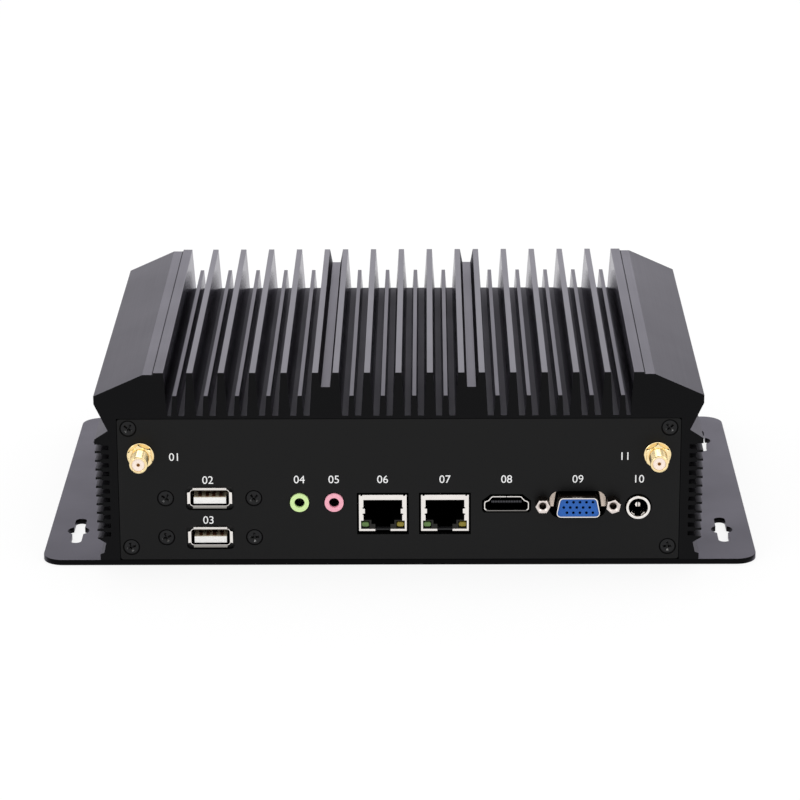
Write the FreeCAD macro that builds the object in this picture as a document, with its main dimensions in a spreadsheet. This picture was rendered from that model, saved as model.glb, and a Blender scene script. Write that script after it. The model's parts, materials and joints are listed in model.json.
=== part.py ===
"""Fanless industrial PC: a finned aluminium case on a flanged base plate.

The frame is +Z up, X to the right and the socket panel facing -Y. The origin is
the centre of the base plate's underside. Lengths are in millimetres. A height
is measured up from the deck, which is the top face of the base plate. An inset
is measured back from the outer face of the panel that a piece belongs to.
"""
import FreeCAD
import Part

import os
from types import SimpleNamespace

import Sketcher
from FreeCAD import Placement, Rotation, Vector

os.makedirs("parts", exist_ok=True)

SIZES = {
    # How far a cutting tool runs past what it cuts
    "cutter_spare": 2.0,
    # Base plate with an ear on each side
    "plate_width": 256.0,
    "plate_thickness": 2.0,
    "plate_corner": 7.5,
    "ear_slot_spread": 235.4,
    "ear_slot_pitch": 100.0,
    "ear_slot_length": 25.0,
    "ear_slot_width": 4.0,
    "ear_eye_diameter": 7.8,
    # Case extrusion, outside, as widths over both sides and heights
    "case_depth": 160.0,
    "foot_width": 213.8,
    "foot_height": 2.2,
    "heel_width": 211.0,
    "heel_height": 2.8,
    "instep_width": 209.4,
    "instep_height": 6.4,
    "rib_width": 215.4,
    "rib_low_height": 8.3,
    "rib_high_height": 45.6,
    "neck_width": 205.8,
    "neck_height": 48.75,
    "shoulder_width": 215.2,
    "shoulder_low_height": 58.7,
    "shoulder_high_height": 61.6,
    "ledge_width": 180.2,
    "ledge_height": 69.5,
    "crest_width": 172.6,
    "crest_height": 70.2,
    "crest_inner_width": 165.6,
    "crest_root_width": 163.4,
    "floor_height": 54.3,
    # Cooling fins
    "fin_pitch": 11.05,
    "fin_pair_pitch": 7.2,
    "fin_tip": 2.1,
    "fin_root": 4.3,
    "low_fin_tip": 1.4,
    "low_fin_root": 2.5,
    "low_fin_rise": 7.4,
    "bar_tip": 3.1,
    "bar_rise": 10.6,
    "fin_embed": 1.0,
    # Side grooves
    "groove_pitch": 3.265,
    "groove_top_height": 42.45,
    "groove_mouth": 2.45,
    "groove_bottom": 1.65,
    "groove_step_width": 211.0,
    "groove_root_width": 205.6,
    # Case extrusion, inside
    "cavity_width": 194.0,
    "cavity_height": 50.0,
    "screw_rail_width": 4.9,
    "screw_rail_low_height": 8.4,
    "screw_rail_high_height": 46.2,
    # End panels
    "panel_thickness": 2.0,
    "panel_width": 199.2,
    "panel_top_height": 53.0,
    "panel_bottom_height": 0.2,
    "panel_corner": 1.0,
    "panel_gap": 0.2,
    "panel_screw_spread": 191.4,
    "panel_screw_low_height": 4.9,
    "panel_screw_high_height": 49.6,
    "panel_screw_length": 9.0,
    # Countersunk screws
    "screw_head_diameter": 5.6,
    "screw_head_height": 1.5,
    "screw_shank_diameter": 3.0,
    "screw_clearance": 0.1,
    "screw_bore_spare": 2.0,
    "cross_span": 3.0,
    "cross_width": 0.6,
    "cross_depth": 1.0,
    "plate_screw_length": 9.0,
    "plate_screw_spread": 200.0,
    "plate_screw_pitch": 60.0,
    # Mainboard, hung below the case ceiling with its sockets facing down
    "board_left_reach": 47.8,
    "board_width": 143.6,
    "board_depth": 102.0,
    "board_inset": 4.2,
    "board_height": 24.6,
    "board_thickness": 1.6,
    "board_hole_left": 5.0,
    "board_hole_right": 8.0,
    "board_hole_front": 14.0,
    "board_hole_back": 4.0,
    "post_across_flats": 5.5,
    "post_stud_rise": 2.8,
    "post_screw_length": 8.0,
    "pan_head_diameter": 5.6,
    "pan_head_height": 1.8,
    "ceiling_bore_depth": 3.2,
    # Processor and its heat block
    "processor_x": 40.0,
    "processor_inset": 58.0,
    "processor_side": 30.0,
    "processor_thickness": 1.6,
    "pad_thickness": 0.5,
    "heat_block_width": 64.0,
    "heat_block_depth": 46.0,
    "heat_screw_margin": 6.0,
    "heat_screw_bore": 6.4,
    "heat_screw_bore_depth": 12.0,
    "heat_screw_bite": 2.8,
    # Memory, storage, wireless card and clock cell, under the mainboard
    "memory_x": -38.0,
    "memory_inset": 30.0,
    "memory_length": 67.6,
    "memory_width": 30.0,
    "memory_thickness": 1.0,
    "memory_drop": 3.0,
    "memory_bite": 4.0,
    "memory_socket_length": 73.0,
    "memory_socket_width": 7.0,
    "memory_socket_height": 5.2,
    "card_width": 22.0,
    "card_thickness": 1.0,
    "card_drop": 2.0,
    "card_bite": 3.0,
    "card_socket_width": 6.0,
    "card_socket_height": 4.0,
    "card_stub_diameter": 4.0,
    "storage_x": -2.0,
    "storage_inset": 80.0,
    "storage_length": 80.0,
    "wireless_x": 4.0,
    "wireless_inset": 46.0,
    "wireless_length": 30.0,
    "chip_thickness": 1.0,
    "chip_gap": 3.0,
    "cell_diameter": 20.0,
    "cell_thickness": 3.2,
    "cell_x": 66.0,
    "cell_inset": 52.0,
    "cell_rim": 1.5,
    "cell_roof": 1.0,
    # USB sockets, screwed to the front panel from outside
    "usb_x": -67.35,
    "usb_upper_height": 23.4,
    "usb_lower_height": 8.6,
    "usb_shell_width": 13.4,
    "usb_shell_height": 6.0,
    "usb_shell_depth": 14.0,
    "usb_sheet": 0.35,
    "usb_lip_side_reach": 1.35,
    "usb_lip_top_reach": 0.9,
    "usb_lip_proud": 0.9,
    "usb_lip_corner": 1.1,
    "usb_cut_width": 17.0,
    "usb_cut_height": 9.0,
    "usb_cut_corner": 1.6,
    "usb_tongue_width": 11.2,
    "usb_tongue_thickness": 2.35,
    "usb_tongue_drop": 1.2,
    "usb_tongue_inset": 0.7,
    "usb_back_depth": 3.5,
    "usb_screw_spread": 31.4,
    "usb_screw_length": 7.0,
    "usb_holder_width": 37.0,
    "usb_holder_ear_height": 8.0,
    "usb_holder_ear_depth": 5.2,
    "usb_holder_body_width": 18.0,
    "usb_holder_body_height": 10.0,
    "usb_holder_depth": 12.0,
    # Audio jacks
    "speaker_x": -35.4,
    "microphone_x": -23.1,
    "audio_height": 21.8,
    "audio_nose_diameter": 6.7,
    "audio_bore_diameter": 3.7,
    "audio_bore_depth": 12.0,
    "audio_nose_proud": 0.8,
    "audio_body_width": 6.6,
    "audio_body_depth": 12.0,
    "audio_hole_clearance": 0.3,
    # Network sockets, upside down like the board they hang from
    "network_first_x": -5.8,
    "network_second_x": 16.3,
    "network_width": 17.0,
    "network_tall": 13.6,
    "network_deep": 21.0,
    "network_proud": 0.3,
    "network_sheet": 0.4,
    "network_cut_margin": 0.7,
    "network_cut_chin": 1.4,
    "network_brow": 1.9,
    "network_cheek": 1.6,
    "network_sill": 0.75,
    "network_tab_reach": 0.5,
    "network_tab_low": 6.6,
    "network_tab_high": 8.4,
    "network_latch_width": 5.4,
    "network_latch_depth": 7.0,
    "network_bore_width": 12.2,
    "network_bore_low": 4.4,
    "network_step_width": 8.2,
    "network_step_low": 2.4,
    "network_bore_depth": 14.0,
    "network_contact_pitch": 1.02,
    "network_contact_width": 0.35,
    "network_contact_inset": 4.0,
    "network_contact_drop": 2.4,
    "network_light_cheek": 0.7,
    "network_light_width": 3.0,
    "network_light_low": 1.0,
    "network_light_high": 3.5,
    "network_light_brow": 0.4,
    "network_light_length": 8.0,
    "network_light_inset": 0.5,
    # Digital video socket
    "digital_x": 38.2,
    "digital_width": 16.2,
    "digital_tall": 5.7,
    "digital_narrow": 10.2,
    "digital_shoulder": 2.4,
    "digital_chin": 0.8,
    "digital_deep": 11.0,
    "digital_sheet": 0.3,
    "digital_proud": 0.4,
    "digital_leg": 0.5,
    "digital_cut_margin": 0.6,
    "digital_tongue_width": 10.8,
    "digital_tongue_thickness": 1.3,
    "digital_tongue_inset": 1.2,
    "digital_back_thickness": 3.0,
    # Analogue video socket and the two serial sockets
    "analogue_x": 63.5,
    "analogue_height": 21.6,
    "analogue_width": 16.3,
    "analogue_tall": 7.9,
    "analogue_slope": 1.4,
    "dee_corner": 1.6,
    "analogue_proud": 6.0,
    "dee_sheet": 0.4,
    "dee_insert_inset": 0.6,
    "dee_flange_width": 30.8,
    "dee_flange_tall": 12.5,
    "dee_flange_thickness": 0.8,
    "dee_cut_margin_side": 1.9,
    "dee_cut_margin_top": 0.25,
    "dee_cut_margin_bottom": 1.8,
    "dee_cut_corner": 3.4,
    "dee_post_spread": 24.99,
    "dee_body_depth": 9.0,
    "pin_hole_diameter": 0.95,
    "pin_hole_depth": 4.0,
    "pin_hole_pitch": 2.29,
    "pin_row_pitch": 1.98,
    "post_flats": 4.6,
    "post_length": 5.0,
    "post_bore_diameter": 2.6,
    "post_bore_depth": 4.2,
    "post_mouth_diameter": 3.4,
    "post_stud_diameter": 2.8,
    "post_stud_length": 6.0,
    "post_hole_diameter": 3.2,
    # Power inlet
    "inlet_x": 85.0,
    "inlet_height": 19.9,
    "inlet_ring_diameter": 9.0,
    "inlet_ring_proud": 1.2,
    "inlet_bore_diameter": 6.9,
    "inlet_bore_depth": 9.5,
    "inlet_pin_diameter": 2.0,
    "inlet_pin_inset": 1.0,
    "inlet_body_width": 10.0,
    "inlet_body_deep": 14.0,
    "inlet_hole_clearance": 0.3,
    # Aerial sockets
    "aerial_spread": 183.0,
    "aerial_height": 39.5,
    "aerial_diameter": 6.35,
    "aerial_neck_diameter": 5.9,
    "aerial_proud": 10.6,
    "aerial_bore_diameter": 4.7,
    "aerial_bore_depth": 4.0,
    "aerial_shoulder_diameter": 9.0,
    "aerial_shoulder_length": 3.0,
    "aerial_tail_diameter": 4.0,
    "aerial_tail_length": 5.0,
    "aerial_insulator_inset": 0.4,
    "aerial_contact_diameter": 1.3,
    "aerial_contact_bore": 0.9,
    "aerial_contact_base": 1.3,
    "aerial_nut_flats": 8.0,
    "aerial_nut_thickness": 2.2,
    "aerial_washer_diameter": 9.6,
    "aerial_washer_thickness": 0.8,
    # Serial sockets on the rear panel
    "serial_first_x": -14.0,
    "serial_second_x": 24.0,
    "serial_height": 24.0,
    "serial_width": 16.9,
    "serial_tall": 8.3,
    "serial_slope": 1.4,
    "serial_proud": 5.8,
    "serial_floor_depth": 5.6,
    "serial_pin_diameter": 1.0,
    "serial_pin_pitch": 2.77,
    "serial_row_pitch": 2.84,
    "serial_pin_length": 4.8,
    # Power button and status lights on the rear panel
    "button_x": 74.0,
    "button_height": 24.0,
    "button_bezel_diameter": 14.0,
    "button_bezel_thickness": 1.6,
    "button_barrel_diameter": 12.0,
    "button_barrel_length": 16.0,
    "button_cap_diameter": 9.0,
    "button_cap_proud": 1.8,
    "button_cap_clearance": 0.15,
    "button_cap_collar_diameter": 10.2,
    "button_collar_thickness": 1.2,
    "button_lip_thickness": 3.0,
    "button_travel": 1.5,
    "button_travel_spare": 0.3,
    "button_stem_diameter": 3.0,
    "button_nut_flats": 14.0,
    "button_nut_thickness": 2.5,
    "button_switch_length": 6.0,
    "light_x": 54.0,
    "light_pitch": 8.0,
    "light_diameter": 3.0,
    "light_proud": 0.6,
    "light_rim_diameter": 4.0,
    "light_rim_thickness": 0.6,
    "light_length": 6.0,
}


class Size:
    """A length together with the spreadsheet expression that gives it."""

    def __init__(self, value, text):
        self.value = value
        self.text = text

    @staticmethod
    def of(number):
        return number if isinstance(number, Size) else Size(float(number), repr(float(number)))

    def __add__(self, other):
        other = Size.of(other)
        return Size(self.value + other.value, f"({self.text} + {other.text})")

    def __sub__(self, other):
        other = Size.of(other)
        return Size(self.value - other.value, f"({self.text} - {other.text})")

    def __rsub__(self, other):
        return Size.of(other) - self

    def __mul__(self, factor):
        return Size(self.value * factor, f"({self.text} * {float(factor)!r})")

    def __truediv__(self, divisor):
        return Size(self.value / divisor, f"({self.text} / {float(divisor)!r})")

    def __neg__(self):
        return Size(-self.value, f"(0 - {self.text})")

    __radd__ = __add__
    __rmul__ = __mul__


doc = FreeCAD.newDocument("fanless_industrial_pc")
sheet = doc.addObject("Spreadsheet::Sheet", "Sizes")
for row, (alias, number) in enumerate(SIZES.items(), start=1):
    sheet.set(f"A{row}", alias)
    sheet.set(f"B{row}", str(number))
    sheet.setAlias(f"B{row}", alias)
doc.recompute()
d = SimpleNamespace(**{alias: Size(float(number), f"Sizes.{alias}") for alias, number in SIZES.items()})

# Turns that point a piece's own +Z along a direction
UP = Rotation()
BACK = Rotation(Vector(1, 0, 0), -90)
FRONT = Rotation(Vector(1, 0, 0), 90)

# Tall fins between the two bars, and outside each bar
MIDDLE_FINS = 5
SIDE_FINS = 5

# Grooves on each side, counted down from the highest
GROOVES = 11

# Contact wires in a network socket
WIRES = 8

# Chips on the memory module, the storage module and the wireless card
MEMORY_CHIPS = 4
STORAGE_CHIPS = 3
WIRELESS_CHIPS = 1

# How a sketch plane lies: the role of the origin plane, and the way that its normal points
PLANES = {"Z": ("XY_Plane", 1), "Y": ("XZ_Plane", -1), "X": ("YZ_Plane", 1)}

nodes = []


# ---------------------------------------------------------------- building blocks

def bind(thing, name, size):
    """Give a property its value and tie it to the sheet."""
    size = Size.of(size)
    setattr(thing, name, size.value)
    thing.setExpression(name, size.text)


def place(thing, at, turn=UP):
    """Put a piece's own origin at a point, with a fixed turn."""
    at = [Size.of(coordinate) for coordinate in at]
    thing.Placement = Placement(Vector(*[coordinate.value for coordinate in at]), turn)
    for axis, coordinate in zip("xyz", at):
        thing.setExpression(f"Placement.Base.{axis}", coordinate.text)


def box(low, high, name="Block"):
    """A block between two opposite corners."""
    low = [Size.of(coordinate) for coordinate in low]
    solid = doc.addObject("Part::Box", name)
    for side, start, end in zip(("Length", "Width", "Height"), low, high):
        bind(solid, side, end - start)
    place(solid, low)
    return solid


def rod(at, turn, diameter, length, name="Rod"):
    """A cylinder from a point along a direction."""
    solid = doc.addObject("Part::Cylinder", name)
    bind(solid, "Radius", Size.of(diameter) / 2)
    bind(solid, "Height", length)
    place(solid, at, turn)
    return solid


def cone(at, turn, start_diameter, end_diameter, length, name="Cone"):
    """A cone or a truncated cone from a point along a direction."""
    solid = doc.addObject("Part::Cone", name)
    bind(solid, "Radius1", Size.of(start_diameter) / 2)
    bind(solid, "Radius2", Size.of(end_diameter) / 2)
    bind(solid, "Height", length)
    place(solid, at, turn)
    return solid


def hexagon(at, turn, across_flats, length, name="Hexagon"):
    """A hexagonal prism from a point along a direction."""
    solid = doc.addObject("Part::Prism", name)
    solid.Polygon = 6
    bind(solid, "Circumradius", Size.of(across_flats) / 3 ** 0.5)
    bind(solid, "Height", length)
    place(solid, at, turn)
    return solid


def joined(pieces, name="Joined"):
    """One solid of pieces that touch or overlap."""
    if len(pieces) == 1:
        return pieces[0]
    solid = doc.addObject("Part::MultiFuse", name)
    solid.Shapes = pieces
    return solid


def cut(base, tools, name="Cut"):
    """A solid with the tools taken out of it."""
    solid = doc.addObject("Part::Cut", name)
    solid.Base = base
    solid.Tool = joined(tools, "Tools")
    return solid


def group(pieces, name="Group"):
    """Separate identical solids that are kept together."""
    solid = doc.addObject("Part::Compound", name)
    solid.Links = pieces
    return solid


def node(label, thing):
    """Name a finished sub-part."""
    thing.Label = label
    nodes.append(thing)
    return thing


def sketch_on(body, normal, offset):
    """A sketch across an axis, at a place along it."""
    role, way = PLANES[normal]
    sketch = body.newObject("Sketcher::SketchObject", "Sketch")
    plane = [item for item in body.Origin.OriginFeatures if item.Role == role][0]
    sketch.AttachmentSupport = [(plane, "")]
    sketch.MapMode = "FlatFace"
    offset = Size.of(offset) * way
    sketch.AttachmentOffset = Placement(Vector(0, 0, offset.value), Rotation())
    sketch.setExpression("AttachmentOffset.Base.z", offset.text)
    return sketch


def pin_point(sketch, geometry, point, x, y):
    """Fix a point of a sketch by its distances from the origin."""
    for kind, size in (("DistanceX", Size.of(x)), ("DistanceY", Size.of(y))):
        index = sketch.addConstraint(Sketcher.Constraint(kind, -1, 1, geometry, point, size.value))
        sketch.setExpression(f"Constraints[{index}]", size.text)


def outline(sketch, corners):
    """Draw a closed outline with straight sides."""
    corners = [(Size.of(x), Size.of(y)) for x, y in corners]
    ends = [Vector(x.value, y.value, 0) for x, y in corners]
    first = len(sketch.Geometry)
    count = len(corners)
    for number, start in enumerate(ends):
        sketch.addGeometry(Part.LineSegment(start, ends[(number + 1) % count]), False)
    for number, (x, y) in enumerate(corners):
        after = first + (number + 1) % count
        sketch.addConstraint(Sketcher.Constraint("Coincident", first + number, 2, after, 1))
        pin_point(sketch, first + number, 1, x, y)


def pad(body, sketch, normal, length):
    """Fill a sketch out along the positive direction of its axis."""
    feature = body.newObject("PartDesign::Pad", "Pad")
    feature.Profile = sketch
    bind(feature, "Length", length)
    feature.Reversed = PLANES[normal][1] < 0
    return feature


def pocket(body, sketch, normal, length, forward=True):
    """Cut a sketch in along its axis, and make sure that metal was removed."""
    doc.recompute()
    before = body.Shape.Volume
    feature = body.newObject("PartDesign::Pocket", "Pocket")
    feature.Profile = sketch
    bind(feature, "Length", length)
    feature.Reversed = forward == (PLANES[normal][1] > 0)
    doc.recompute()
    if body.Shape.Volume >= before - 1e-6:
        raise RuntimeError(f"a pocket in {body.Label} removes nothing")
    return feature


def prism(normal, start, length, outlines, name="Prism"):
    """A body padded from closed outlines across an axis."""
    body = doc.addObject("PartDesign::Body", name)
    sketch = sketch_on(body, normal, start)
    for corners in outlines:
        outline(sketch, corners)
    pad(body, sketch, normal, length)
    return body


def turned(profile, at, turn, name="Turned"):
    """A body turned about its own Z from (radius, along) points."""
    body = doc.addObject("PartDesign::Body", name)
    sketch = sketch_on(body, "Y", 0)
    outline(sketch, profile)
    feature = body.newObject("PartDesign::Revolution", "Revolution")
    feature.Profile = sketch
    feature.ReferenceAxis = (sketch, ["V_Axis"])
    feature.Angle = 360
    place(body, at, turn)
    return body


def rounded(base, size, picks, name="Rounded"):
    """Round the edges that a test picks."""
    doc.recompute()
    size = Size.of(size)
    feature = doc.addObject("Part::Fillet", name)
    feature.Base = base
    feature.Edges = [(number, size.value, size.value)
                     for number, edge in enumerate(base.Shape.Edges, start=1) if picks(edge)]
    return feature


def upright(edge):
    """Whether an edge is a straight one along Z."""
    return runs_along(edge, Vector(0, 0, 1))


def lengthwise(edge):
    """Whether an edge is a straight one along Y."""
    return runs_along(edge, Vector(0, 1, 0))


def runs_along(edge, direction):
    if not isinstance(edge.Curve, Part.Line):
        return False
    return abs(edge.Curve.Direction.dot(direction)) > 0.999


def rectangle(x, y, width, height):
    """The corners of a rectangle about a point."""
    return [(x - width / 2, y - height / 2), (x + width / 2, y - height / 2),
            (x + width / 2, y + height / 2), (x - width / 2, y + height / 2)]


def mirrored(corners):
    """An outline from its right half, listed from the lower to the upper end."""
    return corners + [(-x, y) for x, y in reversed(corners)]


# ---------------------------------------------------------------- planes that pieces share

deck = d.plate_thickness
front = -d.case_depth / 2
rear = d.case_depth / 2
rear_panel_inner = rear - d.panel_thickness
ceiling = deck + d.cavity_height
board_under = deck + d.board_height
board_over = board_under + d.board_thickness
board_left = -d.board_left_reach
board_right = board_left + d.board_width
board_front = front + d.board_inset
board_back = board_front + d.board_depth


# ---------------------------------------------------------------- working from an end face

class Face:
    """One end of the case: insets run inwards from its outer plane, and negative ones stand proud."""

    def __init__(self, plane, inward):
        self.plane = plane
        self.inward = inward
        self.turn_in, self.turn_out = (BACK, FRONT) if inward > 0 else (FRONT, BACK)

    def at(self, inset):
        """The Y of an inset."""
        return self.plane + self.inward * inset

    def start(self, near, far):
        """The lower Y of a stretch between two insets."""
        return self.at(near) if self.inward > 0 else self.at(far)

    def block(self, left, right, near, far, low, high):
        """A block between X sides, insets and Z levels."""
        start = self.start(near, far)
        return box((left, start, low), (right, start + (far - near), high))

    def column(self, outlines, near, far):
        """A prism of (X, Z) outlines between two insets."""
        return prism("Y", self.start(near, far), Size.of(far) - near, outlines)

    def bore(self, x, z, near, far, diameter):
        """A cylinder between two insets."""
        return rod((x, self.at(near), z), self.turn_in, diameter, Size.of(far) - near)

    def hexagon(self, x, z, near, far, across_flats):
        """A hexagonal prism between two insets."""
        return hexagon((x, self.at(near), z), self.turn_in, across_flats, Size.of(far) - near)

    def turned(self, x, z, profile):
        """A body turned about the inward direction, from (radius, inset) points."""
        return turned(profile, (x, self.plane, z), self.turn_in)


front_face = Face(front, 1)
rear_face = Face(rear, -1)
SKIN = d.panel_thickness
BEFORE_SKIN = -d.cutter_spare
BEHIND_SKIN = d.panel_thickness + d.cutter_spare


# ---------------------------------------------------------------- screws

shank_bore = d.screw_shank_diameter + 2 * d.screw_clearance


def screw(profile, at, turn, head_face):
    """A turned screw with a cross recess, pointing along the turn."""
    body = turned(profile, at, turn, "Screw")
    cross = sketch_on(body, "Z", head_face)
    far, near = d.cross_span / 2, d.cross_width / 2
    outline(cross, [(near, near), (near, far), (-near, far), (-near, near), (-far, near), (-far, -near),
                    (-near, -near), (-near, -far), (near, -far), (near, -near), (far, -near), (far, near)])
    pocket(body, cross, "Z", d.cross_depth)
    return body


def countersunk_screw(at, turn, length):
    """A flat-headed screw, whose head face is at the point."""
    shank = d.screw_shank_diameter / 2
    return screw([(0, 0), (d.screw_head_diameter / 2, 0), (shank, d.screw_head_height),
                  (shank, length), (0, length)], at, turn, 0)


def pan_screw(at, turn, length):
    """A round-headed screw, whose head seats at the point."""
    shank, head = d.screw_shank_diameter / 2, d.pan_head_diameter / 2
    return screw([(0, -d.pan_head_height), (head, -d.pan_head_height), (head, 0), (shank, 0),
                  (shank, length), (0, length)], at, turn, -d.pan_head_height)


def countersink(at, turn, depth):
    """The room that a countersunk screw takes: its head's cone and a clearance bore."""
    head = cone(at, turn, d.screw_head_diameter, d.screw_shank_diameter, d.screw_head_height)
    bore = rod(at, turn, shank_bore, depth)
    return joined([head, bore], "Countersink")


plate_screw_places = [(side * d.plate_screw_spread / 2, row * d.plate_screw_pitch)
                      for side in (-1, 1) for row in (-1, 0, 1)]
panel_screw_places = [(side * d.panel_screw_spread / 2, deck + height)
                      for side in (-1, 1) for height in (d.panel_screw_low_height, d.panel_screw_high_height)]
usb_screw_places = [(d.usb_x + side * d.usb_screw_spread / 2, deck + height)
                    for side in (-1, 1) for height in (d.usb_upper_height, d.usb_lower_height)]


board_post_places = [(x, y) for x in (board_left + d.board_hole_left, board_right - d.board_hole_right)
                     for y in (board_front + d.board_hole_front, board_back - d.board_hole_back)]
block_left = d.processor_x - d.heat_block_width / 2
block_front = front + d.processor_inset - d.heat_block_depth / 2
block_low = board_over + d.processor_thickness + d.pad_thickness
heat_screw_places = [(x, y)
                     for x in (block_left + d.heat_screw_margin,
                               block_left + d.heat_block_width - d.heat_screw_margin)
                     for y in (block_front + d.heat_screw_margin,
                               block_front + d.heat_block_depth - d.heat_screw_margin)]


# ---------------------------------------------------------------- base plate

def base_plate():
    """A flat plate with a rounded ear on each side, cross-shaped keyholes and screw holes."""
    body = doc.addObject("PartDesign::Body", "Plate")
    sketch = sketch_on(body, "Z", 0)
    outline(sketch, rectangle(Size.of(0), Size.of(0), d.plate_width, d.case_depth))
    pad(body, sketch, "Z", d.plate_thickness)
    plate = rounded(body, d.plate_corner, upright, "Plate")
    tools = []
    straight = d.ear_slot_length - d.ear_slot_width
    low, through = -d.cutter_spare, deck + 2 * d.cutter_spare
    for side in (-1, 1):
        for end in (-1, 1):
            x, y = side * d.ear_slot_spread / 2, end * d.ear_slot_pitch / 2
            tools.append(box((x - d.ear_slot_width / 2, y - straight / 2, low),
                             (x + d.ear_slot_width / 2, y + straight / 2, low + through)))
            for tip in (-1, 1):
                tools.append(rod((x, y + tip * straight / 2, low), UP, d.ear_slot_width, through))
            tools.append(rod((x, y, low), UP, d.ear_eye_diameter, through))
    for x, y in plate_screw_places:
        tools.append(countersink((x, y, 0), UP, deck + d.cutter_spare))
    node("base_plate", cut(plate, tools, "Plate"))
    screws = [countersunk_screw((x, y, 0), UP, d.plate_screw_length) for x, y in plate_screw_places]
    node("base_plate_screws", group(screws))


# ---------------------------------------------------------------- case extrusion

def fin(x, tip, root, base, rise):
    """The tapered section of a fin, its root sunk into what carries it."""
    return [(x - root / 2, base - d.fin_embed), (x + root / 2, base - d.fin_embed),
            (x + root / 2, base), (x + tip / 2, base + rise),
            (x - tip / 2, base + rise), (x - root / 2, base)]


def heatsink_chassis():
    """The finned extrusion: five fins in the middle, five a side, and two solid bars between."""
    body = doc.addObject("PartDesign::Body", "Case")
    floor = deck + d.floor_height
    section = sketch_on(body, "Y", front)
    inner = d.cavity_width / 2
    rail = inner - d.screw_rail_width
    outer = [
        (rail, deck), (d.foot_width / 2, deck), (d.foot_width / 2, deck + d.foot_height),
        (d.heel_width / 2, deck + d.heel_height), (d.instep_width / 2, deck + d.instep_height),
        (d.rib_width / 2, deck + d.rib_low_height), (d.rib_width / 2, deck + d.rib_high_height),
        (d.neck_width / 2, deck + d.neck_height), (d.shoulder_width / 2, deck + d.shoulder_low_height),
        (d.shoulder_width / 2, deck + d.shoulder_high_height), (d.ledge_width / 2, deck + d.ledge_height),
        (d.crest_width / 2, deck + d.ledge_height), (d.crest_width / 2, deck + d.crest_height),
        (d.crest_inner_width / 2, deck + d.crest_height), (d.crest_root_width / 2, floor),
    ]
    under = [
        (rail, ceiling), (rail, deck + d.screw_rail_high_height), (inner, deck + d.screw_rail_high_height),
        (inner, deck + d.screw_rail_low_height), (rail, deck + d.screw_rail_low_height),
    ]
    right = outer
    left = [(-x, z) for x, z in reversed(outer)]
    inside = [(-x, z) for x, z in reversed(under)] + under
    outline(section, right + left + inside)
    pad(body, section, "Y", d.case_depth)

    rise = d.crest_height - d.floor_height
    reach = (MIDDLE_FINS - 1) / 2
    pair = reach * d.fin_pitch + d.fin_pair_pitch
    middle = [(number - reach) * d.fin_pitch for number in range(MIDDLE_FINS)]
    sides = [side * (pair + number * d.fin_pitch) for side in (-1, 1) for number in range(SIDE_FINS)]
    tall = sketch_on(body, "Y", front)
    for x in middle + sides:
        outline(tall, fin(x, d.fin_tip, d.fin_root, floor, rise))
    pad(body, tall, "Y", d.case_depth)

    half = d.fin_pitch / 2
    between = [(number - reach) * d.fin_pitch + half for number in range(MIDDLE_FINS - 1)]
    beside = [side * (pair + number * d.fin_pitch + half) for side in (-1, 1) for number in range(SIDE_FINS)]
    low = sketch_on(body, "Y", front)
    for x in between + beside:
        outline(low, fin(x, d.low_fin_tip, d.low_fin_root, floor, d.low_fin_rise))
    pad(body, low, "Y", d.case_depth)

    bars = sketch_on(body, "Y", front)
    foot = d.fin_pair_pitch / 2
    for side in (-1, 1):
        x = side * (reach * d.fin_pitch + foot)
        throat = (d.fin_pair_pitch - d.fin_tip) / 2
        outline(bars, [(x - foot, floor - d.fin_embed), (x + foot, floor - d.fin_embed),
                       (x + foot, deck + d.crest_height), (x + throat, deck + d.crest_height),
                       (x + d.bar_tip / 2, floor + d.bar_rise), (x - d.bar_tip / 2, floor + d.bar_rise),
                       (x - throat, deck + d.crest_height), (x - foot, deck + d.crest_height)])
    pad(body, bars, "Y", d.case_depth)

    grooves = sketch_on(body, "Y", front)
    spill = d.rib_width / 2 + d.groove_mouth
    for side in (-1, 1):
        for number in range(GROOVES):
            z = deck + d.groove_top_height - number * d.groove_pitch
            outline(grooves, [(side * d.groove_root_width / 2, z - d.groove_bottom / 2),
                              (side * d.groove_step_width / 2, z - d.groove_bottom / 2),
                              (side * d.groove_step_width / 2, z - d.groove_mouth / 2),
                              (side * spill, z - d.groove_mouth / 2), (side * spill, z + d.groove_mouth / 2),
                              (side * d.groove_step_width / 2, z + d.groove_mouth / 2),
                              (side * d.groove_step_width / 2, z + d.groove_bottom / 2),
                              (side * d.groove_root_width / 2, z + d.groove_bottom / 2)])
    pocket(body, grooves, "Y", d.case_depth)

    tools = []
    half_width = d.panel_width / 2 + d.panel_gap
    top = deck + d.panel_top_height + d.panel_gap
    for start in (front, rear_panel_inner):
        tools.append(box((-half_width, start, deck), (half_width, start + d.panel_thickness, top)))
    for x, z in panel_screw_places:
        tools.append(rod((x, front, z), BACK, shank_bore, d.panel_screw_length + d.screw_bore_spare))
        tools.append(rod((x, rear, z), FRONT, shank_bore, d.panel_screw_length + d.screw_bore_spare))
    for x, y in plate_screw_places:
        tools.append(rod((x, y, 0), UP, shank_bore, d.plate_screw_length + d.screw_bore_spare))
    for x, y in board_post_places + heat_screw_places:
        tools.append(rod((x, y, ceiling), UP, shank_bore, d.ceiling_bore_depth))
    node("heatsink_chassis", cut(body, tools, "Case"))


# ---------------------------------------------------------------- end panels

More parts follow.
